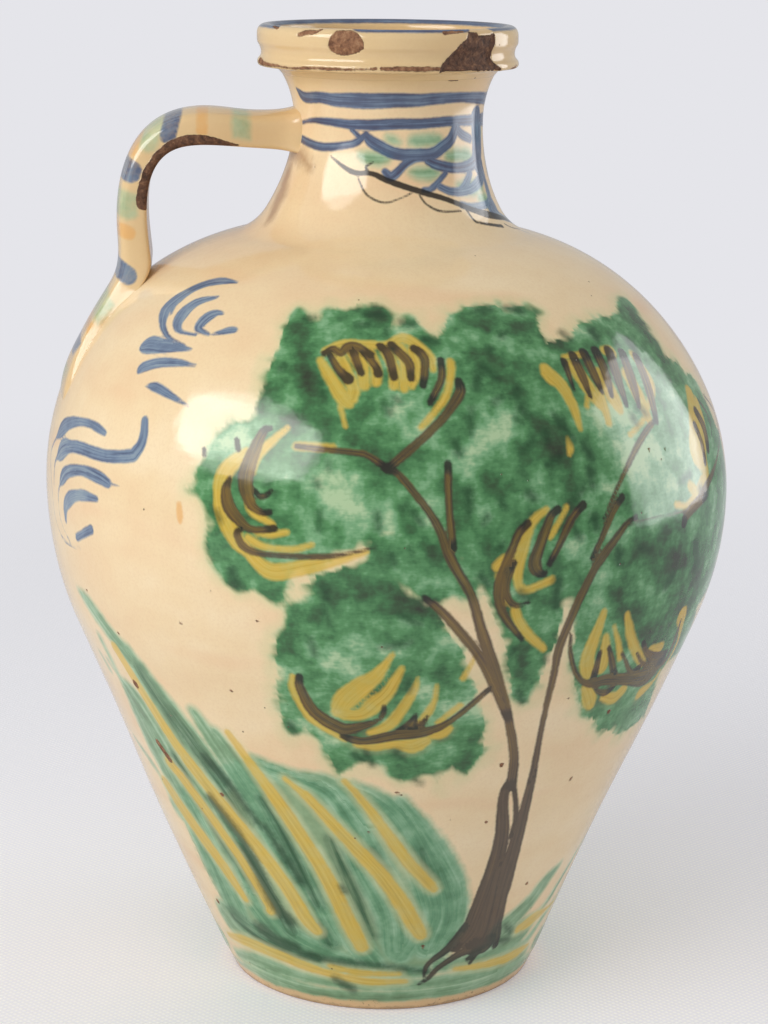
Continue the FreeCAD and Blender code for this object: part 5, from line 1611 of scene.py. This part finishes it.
# %% Grass, thin and deep
_, wash, _, _ = laid("wash", 5.0, 1.0, 3.5)
greens = plus(glaze, times(glaze, big, 0.45), times(glaze, dabs, 0.55))
wash_green = tones(glaze, greens, (0.3, (166, 192, 150)), (0.48, (124, 166, 124)),
                   (0.66, (92, 140, 98)))
colour = over(glaze, colour, wash_green, times(glaze, wash, 0.88))
grass_edge, grass, streak, _ = laid("grass", 2.4, 0.6, 2.4, 3.4, 60)
body = plus(glaze, times(glaze, streak, 0.55), times(glaze, dabs, 0.40))
body = plus(glaze, body, times(glaze, fade(glaze, grass_edge, 0.0, -4.0), 0.10))
grass_green = tones(glaze, body, (0.32, (186, 212, 176)), (0.46, (146, 188, 152)),
                    (0.6, (100, 154, 114)), (0.74, (62, 116, 78)))
colour = over(glaze, colour, grass_green, times(glaze, grass, 0.9))
_, deep, streak, _ = laid("deep_grass", 3.0, 1.0, 3.0, 3.0, 40)
deep = times(glaze, deep, fade(glaze, streak, 0.15, 0.75))
colour = over(glaze, colour, chart(44, 88, 56), deep)

# %% [markdown]
# ## Yellow, dark green, brown and blue
# Antimony yellow lets the green under it through. Manganese brown is the most watery: pale and
# yellowish along the stroke, and almost black at the ends, where the brush stopped and let go of
# its load. Cobalt blue streaks between slate and ink.

# %% The other paints
yellow_edge, yellow, streak, _ = laid("yellow", 1.2, 0.5, 0.9, 1.4, 40)
halo = times(glaze, fade(glaze, yellow_edge, 3.4, 0.4), fade(glaze, height, 160.0, 100.0))
halo = times(glaze, halo, 0.42)
colour = over(glaze, colour, chart(216, 212, 160), halo)
yellows = tones(glaze, maths(glaze, "MULTIPLY_ADD", streak, 0.6, 0.19),
                (0.3, (228, 200, 100)), (0.5, (218, 180, 66)), (0.72, (186, 144, 44)))
body = times(glaze, yellow, plus(glaze, times(glaze, dabs, 0.5), 0.55))
colour = over(glaze, colour, yellows, maths(glaze, "MINIMUM", body, 0.92))
_, orange, _, _ = laid("orange", 0.8, 0.5, 0.8, 1.2, 40)
colour = over(glaze, colour, chart(230, 166, 84), times(glaze, orange, 0.62))
_, dark, _, _ = laid("dark_green", 2.4, 1.4, 2.2)
colour = over(glaze, colour, chart(8, 56, 26), times(glaze, dark, 0.75))

brown_edge, brown, streak, along = laid("brown", 0.6, 0.5, 0.6, 1.2, 30)
load = maths(glaze, "MULTIPLY_ADD", streak, 0.6, 0.2)
load = plus(glaze, load, times(glaze, fade(glaze, along, 5.0, 0.5), 0.34))
load = plus(glaze, load, times(glaze, fade(glaze, brown_edge, -1.3, -0.1), 0.08))
load = plus(glaze, load, times(glaze, fade(glaze, height, 150.0, 100.0), 0.16))
browns = tones(glaze, load, (0.3, (146, 118, 52)), (0.46, (106, 82, 40)), (0.6, (72, 54, 42)),
               (0.78, (36, 26, 24)))
colour = over(glaze, colour, browns, times(glaze, brown, 0.92))

_, blue, streak, _ = laid("blue", 0.5, 0.4, 0.6, 1.1, 34)
neck_load = times(glaze, fade(glaze, height, 330.0, 350.0), 0.10)
ink = plus(glaze, plus(glaze, times(glaze, streak, 0.7), times(glaze, dabs, 0.3)), neck_load)
blues = tones(glaze, ink, (0.34, (140, 160, 172)), (0.48, (98, 126, 156)), (0.62, (52, 82, 122)),
              (0.74, (30, 50, 92)))
colour = over(glaze, colour, blues, times(glaze, blue, 0.93))
_, hair, _, _ = laid("hairline", 0.3, 0.3, 0.4)
colour = over(glaze, colour, chart(20, 16, 14), times(glaze, hair, 0.95))

# %% [markdown]
# ## Where the clay shows
# At the foot the glaze was wiped off and the clay shows, with brown specks, and the clay is darker
# towards the very edge. Painted shade runs from under the handle's root down the neck. On worn
# edges
# and chips the glaze is gone: the clay is matt and rough, and darker where it has drunk dirt.

# %% Worn places and the foot's edge
low = plus(glaze, height, times(glaze, ragged, 3.0))
wiped = fade(glaze, low, 5.6, 3.4)
grit = fade(glaze, speckle(glaze, mm, 1.3, 2, 0.7), 0.60, 0.72)
wiped_clay = over(glaze, chart(228, 190, 142), chart(128, 82, 52), times(glaze, grit, 0.7))
# The clay is darker towards the very bottom edge of the foot.
darker_towards_bottom = times(glaze, fade(glaze, low, 2.2, 0.8), 0.5)
wiped_clay = over(glaze, wiped_clay, chart(112, 78, 54), darker_towards_bottom)
colour = over(glaze, colour, wiped_clay, times(glaze, wiped, 0.9))
_, worn, _, _ = laid("worn", 1.0, 0.9, 0.25)
# On the handle this layer also marks the flaked inner edge, which is partly painted shade.
_, chip, _, _ = laid("chip", 0.8, 0.7, 0.2)
crumb = speckle(glaze, mm, 2.2, 4, 0.7)
worn_clay = tones(glaze, crumb, (0.35, (104, 66, 44)), (0.55, (150, 106, 74)),
                  (0.7, (178, 138, 102)))
chip_clay = tones(glaze, crumb, (0.35, (66, 43, 30)), (0.55, (106, 72, 51)), (0.72, (150, 110, 78)))
# Painted shade under the handle's root and down the neck, in a brown tone.
_, root_shade, _, _ = laid("root_shade", 5.0, 2.0, 3.5)
colour = over(glaze, colour, chart(140, 92, 60), times(glaze, root_shade, 0.62))
colour = over(glaze, colour, worn_clay, worn)
colour = over(glaze, colour, chip_clay, chip)
colour = over(glaze, colour, chart(98, 66, 44), times(glaze, pin, 0.8))

# %% [markdown]
# The glaze is glossy, a little duller in patches, and its surface follows the rings of the wheel.
# Where the clay is bare it is rough instead.

# %% The glaze's surface
bare = maths(glaze, "MAXIMUM", worn, chip)
dull = maths(glaze, "MULTIPLY_ADD", mottle, 0.10, 0.05)
rough = first_out(add(glaze, "Mix", bare, dull, 0.85, data_type="FLOAT"))
ripple = times(glaze, speckle(glaze, rings, 7, 2), 0.10)
peel = times(glaze, speckle(glaze, mm, 9, 2), 0.10)
relief = maths(glaze, "SUBTRACT", plus(glaze, ripple, peel), times(glaze, pin, 0.2))
relief = plus(glaze, relief, times(glaze, times(glaze, crumb, bare), 0.8))
bump = add(glaze, "Bump", 1.0, 0.001, None, relief)
glaze.links.new(colour, finish.inputs["Base Color"])
glaze.links.new(rough, finish.inputs["Roughness"])
glaze.links.new(bump.outputs[0], finish.inputs["Normal"])
print("nodes in the glaze:", len(glaze.nodes))

# %% [markdown]
# ## Bare clay
# The underside was never glazed. It is a buff fired clay with darker grog, the rings of the wire
# that cut it off the wheel, and dirt from the ground it stood on.

# %% The bare clay
bare_clay, clay, finish = open_recipe("bare_clay")
where = add(clay, "TexCoord").outputs["Object"]
mm = first_out(add(clay, "VectorMath", where, (1000, 1000, 1000), operation="MULTIPLY"))
body_tone = speckle(clay, mm, 22, 4, 0.6)
grog = speckle(clay, mm, 1.8, 3, 0.7)
buff = tones(clay, body_tone, (0.32, (176, 126, 88)), (0.5, (200, 150, 108)),
             (0.68, (216, 174, 132)))
buff = over(clay, buff, chart(118, 80, 56), times(clay, fade(clay, grog, 0.6, 0.72), 0.7))
wire = first_out(add(clay, "TexWave", mm, 0.25, 6.0, 2.0, 0.6, wave_type="BANDS"))
relief = plus(clay, times(clay, wire, 0.2), times(clay, grog, 0.5))
clay.links.new(buff, finish.inputs["Base Color"])
clay.links.new(plus(clay, times(clay, grog, 0.2), 0.72), finish.inputs["Roughness"])
clay.links.new(add(clay, "Bump", 1.0, 0.001, None, relief).outputs[0], finish.inputs["Normal"])

# %% [markdown]
# ## Dress the pieces
# Every piece wears the painted glaze, since its layers say where paint lies. The foot has a second
# material for the faces that look down.

# %% Give each piece its finish
for piece in ALL_PIECES:
    piece.data.materials.append(painted_glaze)
foot.data.materials.append(bare_clay)
underneath = 0
for face in foot.data.polygons:
    if face.normal.z < -0.9:
        face.material_index = 1
        underneath += 1
print("faces of bare clay under the foot:", underneath)

# %% [markdown]
# ## Tie the pieces to the model
# Each new piece rides on the jar's one body and stands for its CAD node, which is hidden.

# %% Ride and replace
NODES = {foot: "foot_disc", lower_body: "lower_wall", upper_body: "upper_wall", neck_wall: "neck",
         mouth_band: "collar", handle_root: "handle_root_wad", handle_strap: "handle_strap",
         handle_heel: "handle_heel_wad"}
for piece, node in NODES.items():
    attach(piece, "root")
    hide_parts(node)
print("pieces dressed:", len(NODES))

# %% [markdown]
# ## The table and the backdrop
# The jar stands on a pale woven cloth that runs far back. The weave is only a fine bump and a faint
# change of tone. Beyond arm's reach of the jar the floor fades, for the camera alone, into the
# backdrop's colour, so no horizon shows while the jar's own shadow stays.

# %% Lay the floor
CLOTH_RADIUS = 14
THREAD = 0.19
bpy.ops.object.select_all(action="DESELECT")
bpy.ops.mesh.primitive_circle_add(vertices=96, radius=CLOTH_RADIUS, fill_type="NGON",
                                  location=(0, 0, 0))
table = bpy.context.object
table.name = "table_cloth"
BACKDROP = chart(229, 229, 234)
cloth, threads, finish = open_recipe("woven_cloth")
where = add(threads, "TexCoord").outputs["Object"]
mm = first_out(add(threads, "VectorMath", where, (1000, 1000, 1000), operation="MULTIPLY"))
slanting = {"wave_type": "BANDS", "bands_direction": "DIAGONAL"}
over_under = add(threads, "TexWave", mm, THREAD, 0.6, 1.0, **slanting)
mirrored = first_out(add(threads, "VectorMath", mm, (-1, 1, 1), operation="MULTIPLY"))
crossing = add(threads, "TexWave", mirrored, THREAD, 0.6, 1.0, **slanting)
weave = times(threads, over_under.outputs["Fac"], crossing.outputs["Fac"])
thread_tone = tones(threads, weave, (0.0, (232, 232, 238)), (0.9, (244, 244, 249)))
threads.links.new(thread_tone, finish.inputs["Base Color"])
finish.inputs["Roughness"].default_value = 0.9
finish.inputs["Specular IOR Level"].default_value = 0.1
raised = add(threads, "Bump", 0.16, 0.001, None, weave)
threads.links.new(raised.outputs[0], finish.inputs["Normal"])

# %% [markdown]
# The fade is a share that grows with the distance from the jar. It counts for camera rays only, so
# in the glaze's reflections and for its light the cloth stays a cloth.

# %% Fade it into the backdrop
FADE_FROM, FADE_TO = 0.25, 1.3
CAMERA_LIFT = 0.12
away = threads.nodes.new("ShaderNodeVectorMath")
away.operation = "LENGTH"
threads.links.new(where, away.inputs[0])
far = fade(threads, away.outputs["Value"], FADE_FROM, FADE_TO)
seen_by_camera = add(threads, "LightPath").outputs["Is Camera Ray"]
finish.inputs["Emission Color"].default_value = (1, 1, 1, 1)
lift = times(threads, seen_by_camera, CAMERA_LIFT)
threads.links.new(lift, finish.inputs["Emission Strength"])
plain = add(threads, "Emission", BACKDROP, 1.0)
joined = add(threads, "MixShader", times(threads, far, seen_by_camera), finish.outputs[0],
             plain.outputs[0])
threads.links.new(joined.outputs[0], threads.nodes["Material Output"].inputs["Surface"])
table.data.materials.append(cloth)

# %% [markdown]
# ## Light
# The photograph's reflections tell where its lamps stood: mirror the view about the wall at each
# bright patch. The main softbox stands to the left and in front, twenty-eight degrees up, and a
# weaker panel to the right and a little behind. Each has a partner that is seen only in the glaze,
# which makes the patches as bright as the photograph's without more light on the jar. The sky adds
# an even level from all round.

# %% Set the lamps
JAR_MIDDLE = Vector((0, 0, 0.22))
WARM, COOL = (1, 0.985, 0.96), (0.97, 0.98, 1)
MAIN_TURN, MAIN_RISE = -50, 28
PANEL_TURN = 106


def softbox(name, turn, rise, distance, size, power, tint):
    """An area lamp on a sphere about the jar's middle, facing it."""
    turn, rise = math.radians(turn), math.radians(rise)
    towards = (math.cos(rise) * math.sin(turn), -math.cos(rise) * math.cos(turn), math.sin(rise))
    place = JAR_MIDDLE + distance * Vector(towards)
    bpy.ops.object.light_add(type="AREA", location=place)
    lamp = bpy.context.object
    lamp.name = name
    lamp.data.shape = "ELLIPSE"
    lamp.data.size, lamp.data.size_y = size
    lamp.data.energy = power
    lamp.data.color = tint
    lamp.rotation_euler = (JAR_MIDDLE - place).to_track_quat("-Z", "Y").to_euler()
    lamp.visible_camera = False
    return lamp


softbox("main_softbox", MAIN_TURN, MAIN_RISE, 1.5, (1.45, 0.85), 12, WARM)
softbox("right_panel", PANEL_TURN, 8, 1.4, (1.0, 1.4), 5.5, COOL)
main_shine = softbox("main_softbox_shine", MAIN_TURN, MAIN_RISE, 1.51, (1.3, 0.6), 8.5, WARM)
panel_shine = softbox("right_panel_shine", PANEL_TURN, 4, 1.41, (1.15, 1.6), 13, COOL)
for lamp in (main_shine, panel_shine):
    lamp.data.shape = "RECTANGLE"
    lamp.visible_diffuse = False

# %% The even light from all round
EVEN_LIGHT = 0.53
sky = bpy.data.worlds.new("studio")
bpy.context.scene.world = sky
sky.use_nodes = True
air = sky.node_tree
even = air.nodes["Background"]
even.inputs["Color"].default_value = (1, 1, 1, 1)
even.inputs["Strength"].default_value = EVEN_LIGHT
seen = add(air, "Background", BACKDROP, 1.0)
path = add(air, "LightPath")
both = add(air, "MixShader", path.outputs["Is Camera Ray"], even.outputs[0], seen.outputs[0])
air.links.new(both.outputs[0], air.nodes["World Output"].inputs["Surface"])
bpy.context.scene.view_settings.view_transform = "Standard"
